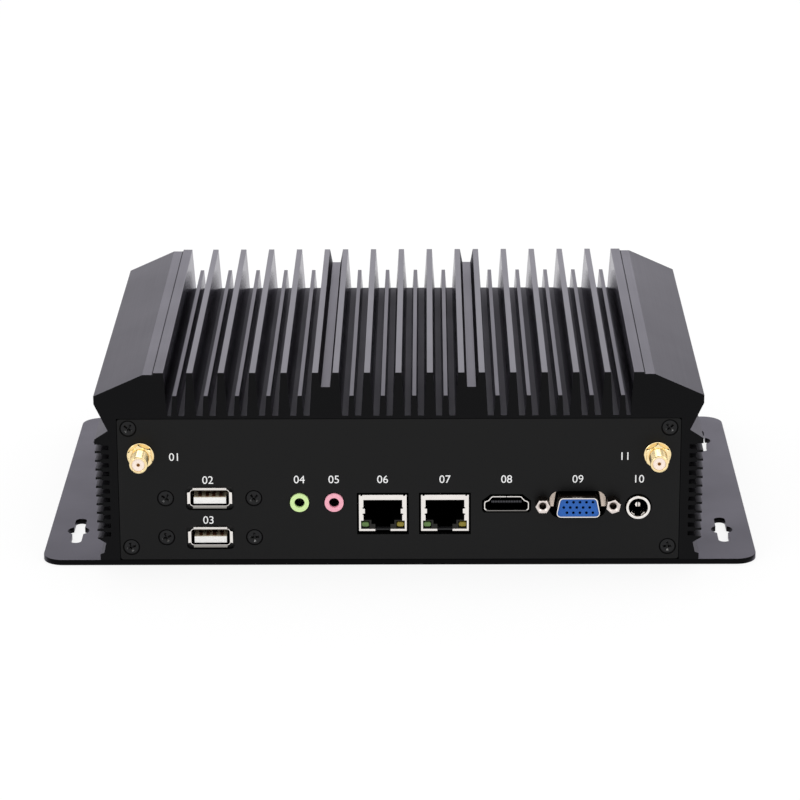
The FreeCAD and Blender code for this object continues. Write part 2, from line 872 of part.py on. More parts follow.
def end_panel(face, label, tools):
    """A flat panel that lies flush in the milled end of the case, with its screws."""
    half = d.panel_width / 2
    sheet_metal = face.block(-half, half, 0, SKIN, deck + d.panel_bottom_height, deck + d.panel_top_height)
    panel = rounded(sheet_metal, d.panel_corner, lengthwise, "Panel")
    for x, z in panel_screw_places:
        tools.append(countersink((x, face.at(0), z), face.turn_in, BEHIND_SKIN))
    node(label, cut(panel, tools, "Panel"))
    screws = [countersunk_screw((x, face.at(0), z), face.turn_in, d.panel_screw_length)
              for x, z in panel_screw_places]
    node(f"{label}_screws", group(screws))


# ---------------------------------------------------------------- mainboard and what it carries

cards = [(d.storage_x, d.storage_inset, d.storage_length),
         (d.wireless_x, d.wireless_inset, d.wireless_length)]


def mainboard():
    """The board, the posts that hang it from the ceiling, and their screws."""
    board = box((board_left, board_front, board_under), (board_right, board_back, board_over))
    holes = [rod((x, y, board_under - d.cutter_spare), UP, shank_bore, d.board_thickness + 2 * d.cutter_spare)
             for x, y in board_post_places]
    stubs = [rod((x + length - d.card_stub_diameter / 2, front + inset + d.card_width / 2,
                  board_under - d.card_drop), UP, d.card_stub_diameter, d.card_drop)
             for x, inset, length in cards]
    node("motherboard", joined([cut(board, holes)] + stubs))
    posts, screws = [], []
    for x, y in board_post_places:
        post = hexagon((x, y, board_over), UP, d.post_across_flats, ceiling - board_over)
        stud = rod((x, y, ceiling), UP, d.screw_shank_diameter, d.post_stud_rise)
        bore = rod((x, y, board_over), UP, shank_bore, d.post_screw_length)
        posts.append(cut(joined([post, stud]), [bore], "Post"))
        screws.append(pan_screw((x, y, board_under), UP, d.post_screw_length))
    node("board_posts", group(posts))
    node("board_screws", group(screws))


def processor_and_heat_block():
    """The processor, its thermal pad, and the block that carries its heat to the ceiling."""
    half = d.processor_side / 2
    x, y = d.processor_x, front + d.processor_inset
    pad_low = board_over + d.processor_thickness
    node("processor", box((x - half, y - half, board_over), (x + half, y + half, pad_low)))
    node("thermal_pad", box((x - half, y - half, pad_low), (x + half, y + half, block_low)))
    block = box((block_left, block_front, block_low),
                (block_left + d.heat_block_width, block_front + d.heat_block_depth, ceiling))
    seat = block_low + d.heat_screw_bore_depth
    tools, screws = [], []
    for hole_x, hole_y in heat_screw_places:
        tools.append(rod((hole_x, hole_y, block_low), UP, d.heat_screw_bore, d.heat_screw_bore_depth))
        tools.append(rod((hole_x, hole_y, block_low), UP, shank_bore, ceiling - block_low))
        screws.append(pan_screw((hole_x, hole_y, seat), UP, ceiling - seat + d.heat_screw_bite))
    node("heat_block", cut(block, tools, "HeatBlock"))
    node("heat_block_screws", group(screws))


def chips(start, end, low, high, under, count):
    """A row of chips below a card, between two X and two Y limits."""
    side = (end - start - d.chip_gap * (count + 1)) / count
    return [box((start + d.chip_gap * (number + 1) + side * number, low, under - d.chip_thickness),
                (start + (d.chip_gap + side) * (number + 1), high, under)) for number in range(count)]


def memory():
    """A memory module lying under the board, its edge held by a long socket."""
    y = front + d.memory_inset
    socket_right = d.memory_x + d.memory_socket_width
    top = board_under - d.memory_drop
    module_left = socket_right - d.memory_bite
    module_front = y + (d.memory_socket_length - d.memory_length) / 2
    card = box((module_left, module_front, top - d.memory_thickness),
               (module_left + d.memory_width, module_front + d.memory_length, top))
    chip_left = socket_right + d.chip_gap
    chip_right = module_left + d.memory_width - d.chip_gap
    share = d.memory_length / MEMORY_CHIPS
    pieces = [box((chip_left, module_front + d.chip_gap + number * share,
                   top - d.memory_thickness - d.chip_thickness),
                  (chip_right, module_front + (number + 1) * share - d.chip_gap,
                   top - d.memory_thickness)) for number in range(MEMORY_CHIPS)]
    node("memory_module", joined([card] + pieces))
    block = box((d.memory_x, y, board_under - d.memory_socket_height),
                (socket_right, y + d.memory_socket_length, board_under))
    slot = box((module_left, module_front, top - d.memory_thickness),
               (socket_right + d.cutter_spare, module_front + d.memory_length, top))
    node("memory_socket", cut(block, [slot], "MemorySocket"))


def card(label, x, inset, length, count):
    """A card lying under the board, and the socket that holds its left end."""
    y = front + inset
    top = board_under - d.card_drop
    under = top - d.card_thickness
    sheet_part = box((x, y, under), (x + length, y + d.card_width, top))
    row = chips(x + d.card_bite, x + length - d.card_stub_diameter, y + d.chip_gap,
                y + d.card_width - d.chip_gap, under, count)
    node(label, joined([sheet_part] + row))
    socket_left = x + d.card_bite - d.card_socket_width
    block = box((socket_left, y, board_under - d.card_socket_height),
                (x + d.card_bite, y + d.card_width, board_under))
    slot = box((x, y - d.cutter_spare, under), (x + length, y + d.card_width + d.cutter_spare, top))
    return cut(block, [slot], "CardSocket")


def clock_cell():
    """A coin cell in a round holder under the board."""
    x, y = d.cell_x, front + d.cell_inset
    roof = board_under - d.cell_roof
    low = roof - d.cell_thickness
    outside = d.cell_diameter + 2 * d.cell_rim
    holder = rod((x, y, low), UP, outside, d.cell_thickness + d.cell_roof)
    recess = rod((x, y, low), UP, d.cell_diameter, d.cell_thickness)
    node("coin_cell_holder", cut(holder, [recess], "CellHolder"))
    node("coin_cell", rod((x, y, low), UP, d.cell_diameter, d.cell_thickness))


# ---------------------------------------------------------------- USB sockets

def usb_socket(name, height):
    """A socket with four flared lips; its screws, holder and shell pass behind the panel."""
    face, x, z = front_face, d.usb_x, deck + height
    half, rise = d.usb_shell_width / 2, d.usb_shell_height / 2
    wall, proud = d.usb_sheet, d.usb_lip_proud
    tube = cut(face.block(x - half, x + half, 0, d.usb_shell_depth, z - rise, z + rise),
               [face.block(x - half + wall, x + half - wall, 0, d.usb_shell_depth,
                           z - rise + wall, z + rise - wall)], "Tube")
    lips = []
    across, along = half - d.usb_lip_corner, rise - d.usb_lip_corner
    for side in (-1, 1):
        edge, flare = z + side * rise, side * d.usb_lip_top_reach
        lips.append(prism("X", x - across, 2 * across, [[
            (face.at(0), edge - side * wall), (face.at(0), edge),
            (face.at(-proud), edge + flare), (face.at(-proud), edge + flare - side * wall)]]))
        edge, flare = x + side * half, side * d.usb_lip_side_reach
        lips.append(prism("Z", z - along, 2 * along, [[
            (edge - side * wall, face.at(0)), (edge, face.at(0)),
            (edge + flare, face.at(-proud)), (edge + flare - side * wall, face.at(-proud))]]))
    node(f"usb_{name}_shell", joined([tube] + lips))

    back = d.usb_shell_depth - d.usb_back_depth
    plug = face.block(x - half + wall, x + half - wall, back, d.usb_shell_depth,
                      z - rise + wall, z + rise - wall)
    middle, thick = z - d.usb_tongue_drop, d.usb_tongue_thickness / 2
    tongue = face.block(x - d.usb_tongue_width / 2, x + d.usb_tongue_width / 2, d.usb_tongue_inset, back,
                        middle - thick, middle + thick)
    node(f"usb_{name}_insert", joined([plug, tongue]))

    ear, tall = d.usb_holder_width / 2, d.usb_holder_ear_height / 2
    body, body_tall = d.usb_holder_body_width / 2, d.usb_holder_body_height / 2
    flange = face.block(x - ear, x + ear, SKIN, SKIN + d.usb_holder_ear_depth, z - tall, z + tall)
    barrel = face.block(x - body, x + body, SKIN, SKIN + d.usb_holder_depth, z - body_tall, z + body_tall)
    tools = [face.block(x - half, x + half, SKIN, SKIN + d.usb_holder_depth, z - rise, z + rise)]
    for side in (-1, 1):
        tools.append(face.bore(x + side * d.usb_screw_spread / 2, z, SKIN, SKIN + d.usb_holder_ear_depth,
                               shank_bore))
    return cut(joined([flange, barrel]), tools, "Holder")


def usb_cuts():
    """What the two sockets and their screws take out of the panel."""
    half, rise = d.usb_cut_width / 2, d.usb_cut_height / 2
    tools = []
    for height in (d.usb_upper_height, d.usb_lower_height):
        hole = front_face.block(d.usb_x - half, d.usb_x + half, BEFORE_SKIN, BEHIND_SKIN,
                                deck + height - rise, deck + height + rise)
        tools.append(rounded(hole, d.usb_cut_corner, lengthwise))
    return tools + [countersink((x, front, z), BACK, BEHIND_SKIN) for x, z in usb_screw_places]


# ---------------------------------------------------------------- audio jacks

def audio_jack(label, x):
    """A coloured jack: a round nose through the panel and a square body under the board."""
    z = deck + d.audio_height
    rise = d.board_height - d.audio_height
    nose = front_face.bore(x, z, -d.audio_nose_proud, SKIN, d.audio_nose_diameter)
    body = front_face.block(x - d.audio_body_width / 2, x + d.audio_body_width / 2,
                            SKIN, SKIN + d.audio_body_depth, z - rise, z + rise)
    bore = front_face.bore(x, z, -d.audio_nose_proud, d.audio_bore_depth - d.audio_nose_proud,
                           d.audio_bore_diameter)
    node(label, cut(joined([nose, body]), [bore], "Jack"))
    return front_face.bore(x, z, BEFORE_SKIN, BEHIND_SKIN, d.audio_nose_diameter + 2 * d.audio_hole_clearance)


# ---------------------------------------------------------------- network sockets

def network_socket(name, x):
    """A shielded socket: folded shell, stepped insert, eight contact wires and two lights."""
    face = front_face
    top, low = board_under, board_under - d.network_tall
    half, wall, proud = d.network_width / 2, d.network_sheet, d.network_proud
    back = d.network_deep - proud
    shell = face.block(x - half, x + half, -proud, back, low, top)
    hollow = face.block(x - half + wall, x + half - wall, wall - proud, back - wall, low + wall, top - wall)
    cheek, tab = half - d.network_cheek, half - d.network_cheek - d.network_tab_reach
    beside_light = half - d.network_light_cheek
    latch = d.network_latch_width / 2
    sill, light_top = low + d.network_sill, low + d.network_light_high + d.network_light_brow
    ceiling_line = top - d.network_brow
    opening = [(latch, low - d.cutter_spare), (latch, sill), (beside_light, sill), (beside_light, light_top),
               (cheek, light_top), (cheek, low + d.network_tab_low), (tab, low + d.network_tab_low),
               (tab, low + d.network_tab_high), (cheek, low + d.network_tab_high), (cheek, ceiling_line)]
    window = face.column([[(x + side, z) for side, z in mirrored(opening)]], -2 * proud, wall - proud)
    notch = face.block(x - latch, x + latch, -2 * proud, d.network_latch_depth,
                       low - d.cutter_spare, low + wall)
    node(f"network_{name}_shell", cut(shell, [hollow, window, notch], "Shell"))

    fill = face.block(x - half + wall, x + half - wall, wall - proud, back - wall, low + wall, top - wall)
    bore = [(latch, low), (latch, low + d.network_step_low),
            (d.network_step_width / 2, low + d.network_step_low),
            (d.network_step_width / 2, low + d.network_bore_low),
            (d.network_bore_width / 2, low + d.network_bore_low), (d.network_bore_width / 2, ceiling_line)]
    tools = [face.column([[(x + side, z) for side, z in mirrored(bore)]], -proud, d.network_bore_depth)]
    for side in (-1, 1):
        tools.append(network_light(x, side, wall - proud))
    node(f"network_{name}_insert", cut(fill, tools, "Insert"))

    wires = []
    near, far = d.network_contact_inset, d.network_bore_depth
    thick = d.network_contact_width
    for number in range(WIRES):
        middle = x + (number - (WIRES - 1) / 2) * d.network_contact_pitch
        wires.append(prism("X", middle - thick / 2, thick, [[
            (face.at(near), ceiling_line), (face.at(near + 2 * thick), ceiling_line),
            (face.at(far), ceiling_line - d.network_contact_drop + thick),
            (face.at(far), ceiling_line - d.network_contact_drop)]]))
    return wires


def network_light(x, side, near):
    """The room of one light in the lower corner of a network socket."""
    outer = side * (d.network_width / 2 - d.network_light_cheek)
    inner = outer - side * d.network_light_width
    left, right = (inner, outer) if side > 0 else (outer, inner)
    low = board_under - d.network_tall
    return front_face.block(x + left, x + right, near, d.network_light_length,
                            low + d.network_light_low, low + d.network_light_high)


def network_cut(x):
    """What a network socket takes out of the panel."""
    half, margin = d.network_width / 2, d.network_cut_margin
    return front_face.block(x - half - margin, x + half + margin, BEFORE_SKIN, BEHIND_SKIN,
                            board_under - d.network_tall - d.network_cut_chin, board_under + margin)


# ---------------------------------------------------------------- digital video socket

def digital_outline(inset):
    """The socket's section, narrow side up, drawn in by an inset."""
    top = board_under - d.digital_leg
    half = d.digital_width / 2 - inset
    low, high = top - d.digital_tall + inset, top - inset
    return [(d.digital_x + side, z) for side, z in mirrored([
        (half - d.digital_chin, low), (half, low + d.digital_chin),
        (half, high - d.digital_shoulder), (d.digital_narrow / 2 - inset, high)])]


def digital_video_socket():
    """A folded shell on four legs, with a tongue inside."""
    face, proud, x = front_face, d.digital_proud, d.digital_x
    back = d.digital_deep - proud
    tube = cut(face.column([digital_outline(Size.of(0))], -proud, back),
               [face.column([digital_outline(d.digital_sheet)], -proud, back)], "Tube")
    top, leg = board_under - d.digital_leg, d.digital_leg
    legs = []
    for side in (-1, 1):
        for inset in (board_front - front + leg, back - 2 * leg):
            left = x + side * d.digital_narrow / 2 - (leg if side > 0 else 0)
            legs.append(face.block(left, left + leg, inset, inset + leg, top - d.digital_sheet, board_under))
    node("digital_video_shell", joined([tube] + legs))
    plug = face.column([digital_outline(d.digital_sheet)], back - d.digital_back_thickness, back)
    middle, thick = top - d.digital_tall / 2, d.digital_tongue_thickness / 2
    tongue = face.block(x - d.digital_tongue_width / 2, x + d.digital_tongue_width / 2,
                        d.digital_tongue_inset, back - d.digital_back_thickness,
                        middle - thick, middle + thick)
    node("digital_video_insert", joined([plug, tongue]))
    return face.column([digital_outline(-d.digital_cut_margin)], BEFORE_SKIN, BEHIND_SKIN)


# ---------------------------------------------------------------- D-shaped sockets

def dee_outline(x, z, width, tall, slope, wide_side, inset):
    """A D-shaped section: wide_side is 1 with the wide side up, -1 with it down."""
    wide, rise = width / 2 - inset, tall / 2 - inset
    corners = [(wide - slope, z - wide_side * rise), (wide, z + wide_side * rise)]
    return [(x + side, level) for side, level in mirrored(corners)]


def dee_solid(face, section, near, far, corner):
    """A D-shaped prism with rounded corners."""
    return rounded(face.column([section], near, far), corner, lengthwise)


def dee_shell(face, label, x, z, width, tall, slope, wide_side, proud):
    """A drawn D-shaped shell on a flat flange behind the panel, with holes for its hex posts."""
    wall, flange_back = d.dee_sheet, SKIN + d.dee_flange_thickness
    outer = dee_outline(x, z, width, tall, slope, wide_side, Size.of(0))
    inner = dee_outline(x, z, width, tall, slope, wide_side, wall)
    nose = dee_solid(face, outer, -proud, SKIN, d.dee_corner)
    flange = face.block(x - d.dee_flange_width / 2, x + d.dee_flange_width / 2, SKIN, flange_back,
                        z - d.dee_flange_tall / 2, z + d.dee_flange_tall / 2)
    tools = [dee_solid(face, inner, -proud, flange_back, d.dee_corner - wall)]
    for side in (-1, 1):
        tools.append(face.bore(x + side * d.dee_post_spread / 2, z, SKIN, flange_back, d.post_hole_diameter))
    node(label, cut(joined([nose, flange]), tools, "DeeShell"))
    return inner


def hex_posts(face, x, z):
    """Two threaded hex posts that clamp a D-shaped socket to the panel."""
    posts = []
    for side in (-1, 1):
        post_x = x + side * d.dee_post_spread / 2
        head = face.hexagon(post_x, z, -d.post_length, 0, d.post_flats)
        stud = face.bore(post_x, z, 0, d.post_stud_length, d.post_stud_diameter)
        bore = face.bore(post_x, z, -d.post_length, d.post_bore_depth - d.post_length, d.post_bore_diameter)
        mouth = cone((post_x, face.at(-d.post_length), z), face.turn_in, d.post_mouth_diameter,
                     d.post_bore_diameter, (d.post_mouth_diameter - d.post_bore_diameter) / 2)
        posts.append(cut(joined([head, stud]), [bore, mouth], "HexPost"))
    return posts


def dee_cuts(face, x, z, width, tall):
    """What a D-shaped socket and its posts take out of the panel."""
    half = width / 2 + d.dee_cut_margin_side
    low, high = z - tall / 2 - d.dee_cut_margin_bottom, z + tall / 2 + d.dee_cut_margin_top
    tools = [rounded(face.block(x - half, x + half, BEFORE_SKIN, BEHIND_SKIN, low, high),
                     d.dee_cut_corner, lengthwise)]
    for side in (-1, 1):
        tools.append(face.bore(x + side * d.dee_post_spread / 2, z, BEFORE_SKIN, BEHIND_SKIN,
                               d.post_hole_diameter))
    return tools


def analogue_video_socket():
    """The fifteen-hole socket, wide side down."""
    face, x, z = front_face, d.analogue_x, deck + d.analogue_height
    shape = (x, z, d.analogue_width, d.analogue_tall, d.analogue_slope, -1)
    inner = dee_shell(face, "analogue_video_shell", *shape, d.analogue_proud)
    flange_back = SKIN + d.dee_flange_thickness
    tip = d.dee_insert_inset - d.analogue_proud
    nose = dee_solid(face, inner, tip, flange_back, d.dee_corner - d.dee_sheet)
    half = d.analogue_width / 2
    body = face.block(x - half, x + half, flange_back, flange_back + d.dee_body_depth,
                      z - d.dee_flange_tall / 2, board_under)
    holes = []
    for row in (-1, 0, 1):
        shift = d.pin_hole_pitch / (4 if row else -4)
        for column in range(-2, 3):
            holes.append(face.bore(x + shift + column * d.pin_hole_pitch, z + row * d.pin_row_pitch,
                                   tip, tip + d.pin_hole_depth, d.pin_hole_diameter))
    node("analogue_video_insert", cut(joined([nose, body]), holes, "DeeInsert"))
    node("analogue_video_posts", group(hex_posts(face, x, z)))
    return dee_cuts(face, x, z, d.analogue_width, d.analogue_tall)


def serial_socket(name, x):
    """A nine-pin socket on the rear panel, wide side up, with its pins."""
    face, z = rear_face, deck + d.serial_height
    shape = (x, z, d.serial_width, d.serial_tall, d.serial_slope, 1)
    inner = dee_shell(face, f"serial_{name}_shell", *shape, d.serial_proud)
    flange_back = SKIN + d.dee_flange_thickness
    floor = d.serial_floor_depth - d.serial_proud
    pieces = [dee_solid(face, inner, floor, flange_back, d.dee_corner - d.dee_sheet)]
    half = d.serial_width / 2
    pieces.append(face.block(x - half, x + half, flange_back, flange_back + d.dee_body_depth,
                             z - d.dee_flange_tall / 2, z + d.dee_flange_tall / 2))
    for row, count in ((-1, 4), (1, 5)):
        for number in range(count):
            pin_x = x + (number - (count - 1) / 2) * d.serial_pin_pitch
            pieces.append(face.bore(pin_x, z + row * d.serial_row_pitch / 2, floor - d.serial_pin_length,
                                    floor, d.serial_pin_diameter))
    node(f"serial_{name}_insert", joined(pieces))
    return dee_cuts(face, x, z, d.serial_width, d.serial_tall), hex_posts(face, x, z)


# ---------------------------------------------------------------- power inlet

def power_inlet():
    """A round inlet: nickel sleeve, moulded body and centre pin."""
    face, x, z = front_face, d.inlet_x, deck + d.inlet_height
    proud, ring = d.inlet_ring_proud, d.inlet_ring_diameter
    sleeve = face.bore(x, z, -proud, SKIN, ring)
    rise = d.board_height - d.inlet_height
    body = face.block(x - d.inlet_body_width / 2, x + d.inlet_body_width / 2, SKIN, d.inlet_body_deep,
                      z - rise, z + rise)
    node("power_inlet_sleeve", cut(sleeve, [face.bore(x, z, -proud, SKIN, d.inlet_bore_diameter)], "Sleeve"))
    floor = d.inlet_bore_depth
    node("power_inlet_body", cut(body, [face.bore(x, z, SKIN, floor, d.inlet_bore_diameter)], "InletBody"))
    node("power_inlet_pin", face.bore(x, z, d.inlet_pin_inset, floor, d.inlet_pin_diameter))
    return face.bore(x, z, BEFORE_SKIN, BEHIND_SKIN, ring + 2 * d.inlet_hole_clearance)


# ---------------------------------------------------------------- aerial sockets

def aerial_sockets():
    """Two gold coaxial sockets, each with a washer, a nut, an insulator and a centre contact."""
    z = deck + d.aerial_height
    proud, bore = -d.aerial_proud, d.aerial_bore_diameter / 2
    barrel, neck = d.aerial_diameter / 2, d.aerial_neck_diameter / 2
    shoulder, tail = d.aerial_shoulder_diameter / 2, d.aerial_tail_diameter / 2
    behind = SKIN + d.aerial_shoulder_length
    floor = proud + d.aerial_bore_depth
    washer_face = -d.aerial_washer_thickness
    nut_face = washer_face - d.aerial_nut_thickness
    nuts, washers, insulators, contacts, tools = [], [], [], [], []
    for number, side in ((1, -1), (2, 1)):
        x = side * d.aerial_spread / 2
        node(f"aerial_{number}_socket", front_face.turned(x, z, [
            (0, floor), (bore, floor), (bore, proud), (barrel, proud), (barrel, nut_face), (neck, nut_face),
            (neck, SKIN), (shoulder, SKIN), (shoulder, behind), (tail, behind),
            (tail, behind + d.aerial_tail_length), (0, behind + d.aerial_tail_length)]))
        nut = front_face.hexagon(x, z, nut_face, washer_face, d.aerial_nut_flats)
        thread = front_face.bore(x, z, nut_face, washer_face, d.aerial_neck_diameter)
        nuts.append(cut(nut, [thread], "Nut"))
        disc = front_face.bore(x, z, washer_face, 0, d.aerial_washer_diameter)
        hole = front_face.bore(x, z, washer_face, 0, d.aerial_diameter)
        washers.append(cut(disc, [hole], "Washer"))
        contact = d.aerial_contact_diameter
        end = proud + d.aerial_insulator_inset
        sleeve = front_face.bore(x, z, end, floor, d.aerial_bore_diameter)
        insulators.append(cut(sleeve, [front_face.bore(x, z, end, floor, contact)], "Insulator"))
        pin = front_face.bore(x, z, end, floor, contact)
        hollow = front_face.bore(x, z, end, floor - d.aerial_contact_base, d.aerial_contact_bore)
        contacts.append(cut(pin, [hollow], "Contact"))
        tools.append(front_face.bore(x, z, BEFORE_SKIN, BEHIND_SKIN, d.aerial_diameter))
    node("aerial_nuts", group(nuts))
    node("aerial_washers", group(washers))
    node("aerial_insulators", group(insulators))
    node("aerial_contacts", group(contacts))
    return tools


# ---------------------------------------------------------------- power button and status lights

def power_button():
    """A sprung button in a round bezel: its cap slides in a barrel, above a sealed switch."""
    face, x, z = rear_face, d.button_x, deck + d.button_height
    crown = -d.button_bezel_thickness
    lip_back = crown + d.button_lip_thickness
    end = crown + d.button_barrel_length
    cap, collar = d.button_cap_diameter / 2, d.button_cap_collar_diameter / 2
    play = d.button_cap_clearance
    barrel = d.button_barrel_diameter / 2
    node("power_button_barrel", face.turned(x, z, [
        (cap + play, crown), (d.button_bezel_diameter / 2, crown), (d.button_bezel_diameter / 2, 0),
        (barrel, 0), (barrel, end), (collar + play, end), (collar + play, lip_back), (cap + play, lip_back)]))
    collar_back = lip_back + d.button_collar_thickness
    switch_top = end - d.button_switch_length
    stem, stem_end = d.button_stem_diameter / 2, switch_top - d.button_travel - d.button_travel_spare
    top = crown - d.button_cap_proud
    node("power_button_cap", face.turned(x, z, [
        (0, top), (cap, top), (cap, lip_back), (collar, lip_back), (collar, collar_back),
        (stem, collar_back), (stem, stem_end), (0, stem_end)]))
    node("power_button_switch", face.bore(x, z, switch_top, end, 2 * (collar + play)))
    nut = face.hexagon(x, z, SKIN, SKIN + d.button_nut_thickness, d.button_nut_flats)
    hole = face.bore(x, z, SKIN, SKIN + d.button_nut_thickness, d.button_barrel_diameter)
    node("power_button_nut", cut(nut, [hole], "Nut"))
    return face.bore(x, z, BEFORE_SKIN, BEHIND_SKIN, d.button_barrel_diameter)


def status_lights():
    """Two round lenses beside the button, each held by a rim behind the panel."""
    z = deck + d.button_height
    lens, rim, proud = d.light_diameter / 2, d.light_rim_diameter / 2, d.light_proud
    rim_back = SKIN + d.light_rim_thickness
    lenses, tools = [], []
    for side in (-1, 1):
        x = d.light_x + side * d.light_pitch / 2
        lenses.append(rear_face.turned(x, z, [
            (0, -proud), (lens - proud, -proud), (lens, 0), (lens, SKIN), (rim, SKIN),
            (rim, rim_back), (lens, rim_back), (lens, d.light_length), (0, d.light_length)]))
        tools.append(rear_face.bore(x, z, BEFORE_SKIN, BEHIND_SKIN, d.light_diameter))
    node("status_lights", group(lenses))
    return tools


# ---------------------------------------------------------------- assembly

base_plate()
heatsink_chassis()
mainboard()
processor_and_heat_block()
memory()
node("card_sockets", group([card("storage_module", *cards[0], STORAGE_CHIPS),
                            card("wireless_card", *cards[1], WIRELESS_CHIPS)]))
clock_cell()

front_tools = usb_cuts()
usb_heights = {"upper": d.usb_upper_height, "lower": d.usb_lower_height}
node("usb_holders", group([usb_socket(name, height) for name, height in usb_heights.items()]))
node("usb_screws", group([countersunk_screw((x, front, z), BACK, d.usb_screw_length)
                          for x, z in usb_screw_places]))
front_tools.append(audio_jack("speaker_jack", d.speaker_x))
front_tools.append(audio_jack("microphone_jack", d.microphone_x))
network_places = {"first": d.network_first_x, "second": d.network_second_x}
contact_wires = []
for name, x in network_places.items():
    contact_wires += network_socket(name, x)
    front_tools.append(network_cut(x))
node("network_contacts", group(contact_wires))
for colour, side in (("green", -1), ("yellow", 1)):
    node(f"network_{colour}_lights", group([network_light(x, side, d.network_light_inset)
                                            for x in network_places.values()]))
front_tools.append(digital_video_socket())
front_tools += analogue_video_socket()
front_tools.append(power_inlet())
front_tools += aerial_sockets()
end_panel(front_face, "front_panel", front_tools)

rear_tools, serial_posts = [], []
for name, x in (("first", d.serial_first_x), ("second", d.serial_second_x)):
    cuts, posts = serial_socket(name, x)
    rear_tools += cuts
    serial_posts += posts
node("serial_posts", group(serial_posts))
rear_tools.append(power_button())
rear_tools += status_lights()
end_panel(rear_face, "rear_panel", rear_tools)

doc.recompute()
for thing in doc.Objects:
    if {"Invalid", "Error"} & set(thing.State):
        raise RuntimeError(f"{thing.Label} did not rebuild")
for thing in nodes:
    if thing.Shape.isNull() or not thing.Shape.isValid() or not thing.Shape.Solids:
        raise RuntimeError(f"{thing.Label} has no valid solid")
for thing in nodes:
    thing.Shape.exportStep(f"parts/{thing.Label}.step")
print(len(nodes), "sub-parts written")
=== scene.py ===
"""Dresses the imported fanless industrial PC.

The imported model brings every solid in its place. This script gives each one its finish, puts
detailed pieces in place of the plain shells, screws, barrels, posts, pins and lights, adds the
contacts and the numerals, and sets up the studio and the camera. Lengths are in millimetres up
to the point where a mesh is made, and Blender's own units are metres.
"""
from __future__ import annotations

import json
import logging
import math
from collections.abc import Callable, Iterable, Sequence
from dataclasses import dataclass, replace
from enum import Enum

import bmesh
import bpy
from mathutils import Matrix, Vector

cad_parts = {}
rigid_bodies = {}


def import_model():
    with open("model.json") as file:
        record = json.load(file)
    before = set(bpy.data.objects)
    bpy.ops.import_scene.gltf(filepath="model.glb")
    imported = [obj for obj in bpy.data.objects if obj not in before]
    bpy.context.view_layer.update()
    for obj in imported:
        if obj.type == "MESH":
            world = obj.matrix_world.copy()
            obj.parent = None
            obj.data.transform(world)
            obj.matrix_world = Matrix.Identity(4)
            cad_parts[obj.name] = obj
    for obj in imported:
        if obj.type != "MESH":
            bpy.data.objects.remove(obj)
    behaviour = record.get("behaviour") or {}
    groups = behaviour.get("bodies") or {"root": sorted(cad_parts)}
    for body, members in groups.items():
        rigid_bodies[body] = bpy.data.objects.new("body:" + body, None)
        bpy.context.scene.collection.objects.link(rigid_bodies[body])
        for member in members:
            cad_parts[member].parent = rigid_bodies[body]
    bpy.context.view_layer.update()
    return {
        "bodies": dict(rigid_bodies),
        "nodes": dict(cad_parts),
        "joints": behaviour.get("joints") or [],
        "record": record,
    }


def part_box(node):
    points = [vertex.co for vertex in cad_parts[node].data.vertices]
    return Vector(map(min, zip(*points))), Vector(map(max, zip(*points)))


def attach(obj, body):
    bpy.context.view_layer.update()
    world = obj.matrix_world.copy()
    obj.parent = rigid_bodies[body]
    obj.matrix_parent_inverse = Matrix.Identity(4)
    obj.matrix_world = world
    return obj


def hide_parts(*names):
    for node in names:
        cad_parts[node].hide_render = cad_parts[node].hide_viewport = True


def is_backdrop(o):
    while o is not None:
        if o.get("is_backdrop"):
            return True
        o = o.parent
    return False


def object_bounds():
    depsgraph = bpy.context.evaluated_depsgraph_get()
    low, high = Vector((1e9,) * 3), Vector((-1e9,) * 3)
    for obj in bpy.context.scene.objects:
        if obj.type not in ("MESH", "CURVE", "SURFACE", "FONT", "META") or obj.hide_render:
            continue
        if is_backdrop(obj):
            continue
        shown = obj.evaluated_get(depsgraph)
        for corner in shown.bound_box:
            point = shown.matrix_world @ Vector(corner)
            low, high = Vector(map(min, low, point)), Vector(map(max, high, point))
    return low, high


LOG = logging.getLogger("fanless_pc")
MM = 0.001
STEPS = 48
CASE = "case"
BUTTON = "button"

# How steeply the flanks of a thread rise, in thread depths a pitch.
FLANK_SLOPE = 2.4
# How far apart points still count as one, and the angles from which an edge is broken or sharp.
WELD_REACH = 0.002
BROKEN_ANGLE = 35
SHARP_ANGLE = 32
# How far along its axis a face has to look to count as facing that way.
FACING_SHARE = 0.9
# The little that pieces stand clear of each other or reach into each other, so as not to flicker.
PLAY = 0.02
OVERLAP = 0.01
# The light of the surround and of the floor, with its alpha.
WHITE = (1.0, 1.0, 1.0, 1.0)

Colour = tuple[float, float, float]
Point = tuple[float, float]
Rings = list[list[Vector]]
Radius = float | Callable[[float], float]


# ------------------------------------------------------------------ places

class Facing(Enum):
    """The side that a piece looks out of, as the directions of its own X, Y and Z."""

    FRONT = ((1, 0, 0), (0, 0, 1), (0, -1, 0))
    REAR = ((-1, 0, 0), (0, 0, 1), (0, 1, 0))
    UNDER = ((1, 0, 0), (0, -1, 0), (0, 0, -1))

    def at(self, point: Sequence[float], turn: float = 0.0) -> Matrix:
        """The placement of a piece whose origin is at a point.

        Args:
            point: The origin, in millimetres, in the frame of the case.
            turn: How far the piece is turned about its own Z, in degrees.

        Returns:
            The matrix from the piece's own millimetres to those of the case.
        """
        axes = Matrix(self.value).transposed().to_4x4()
        spin = Matrix.Rotation(math.radians(turn), 4, "Z")
        return Matrix.Translation(Vector(point)) @ axes @ spin


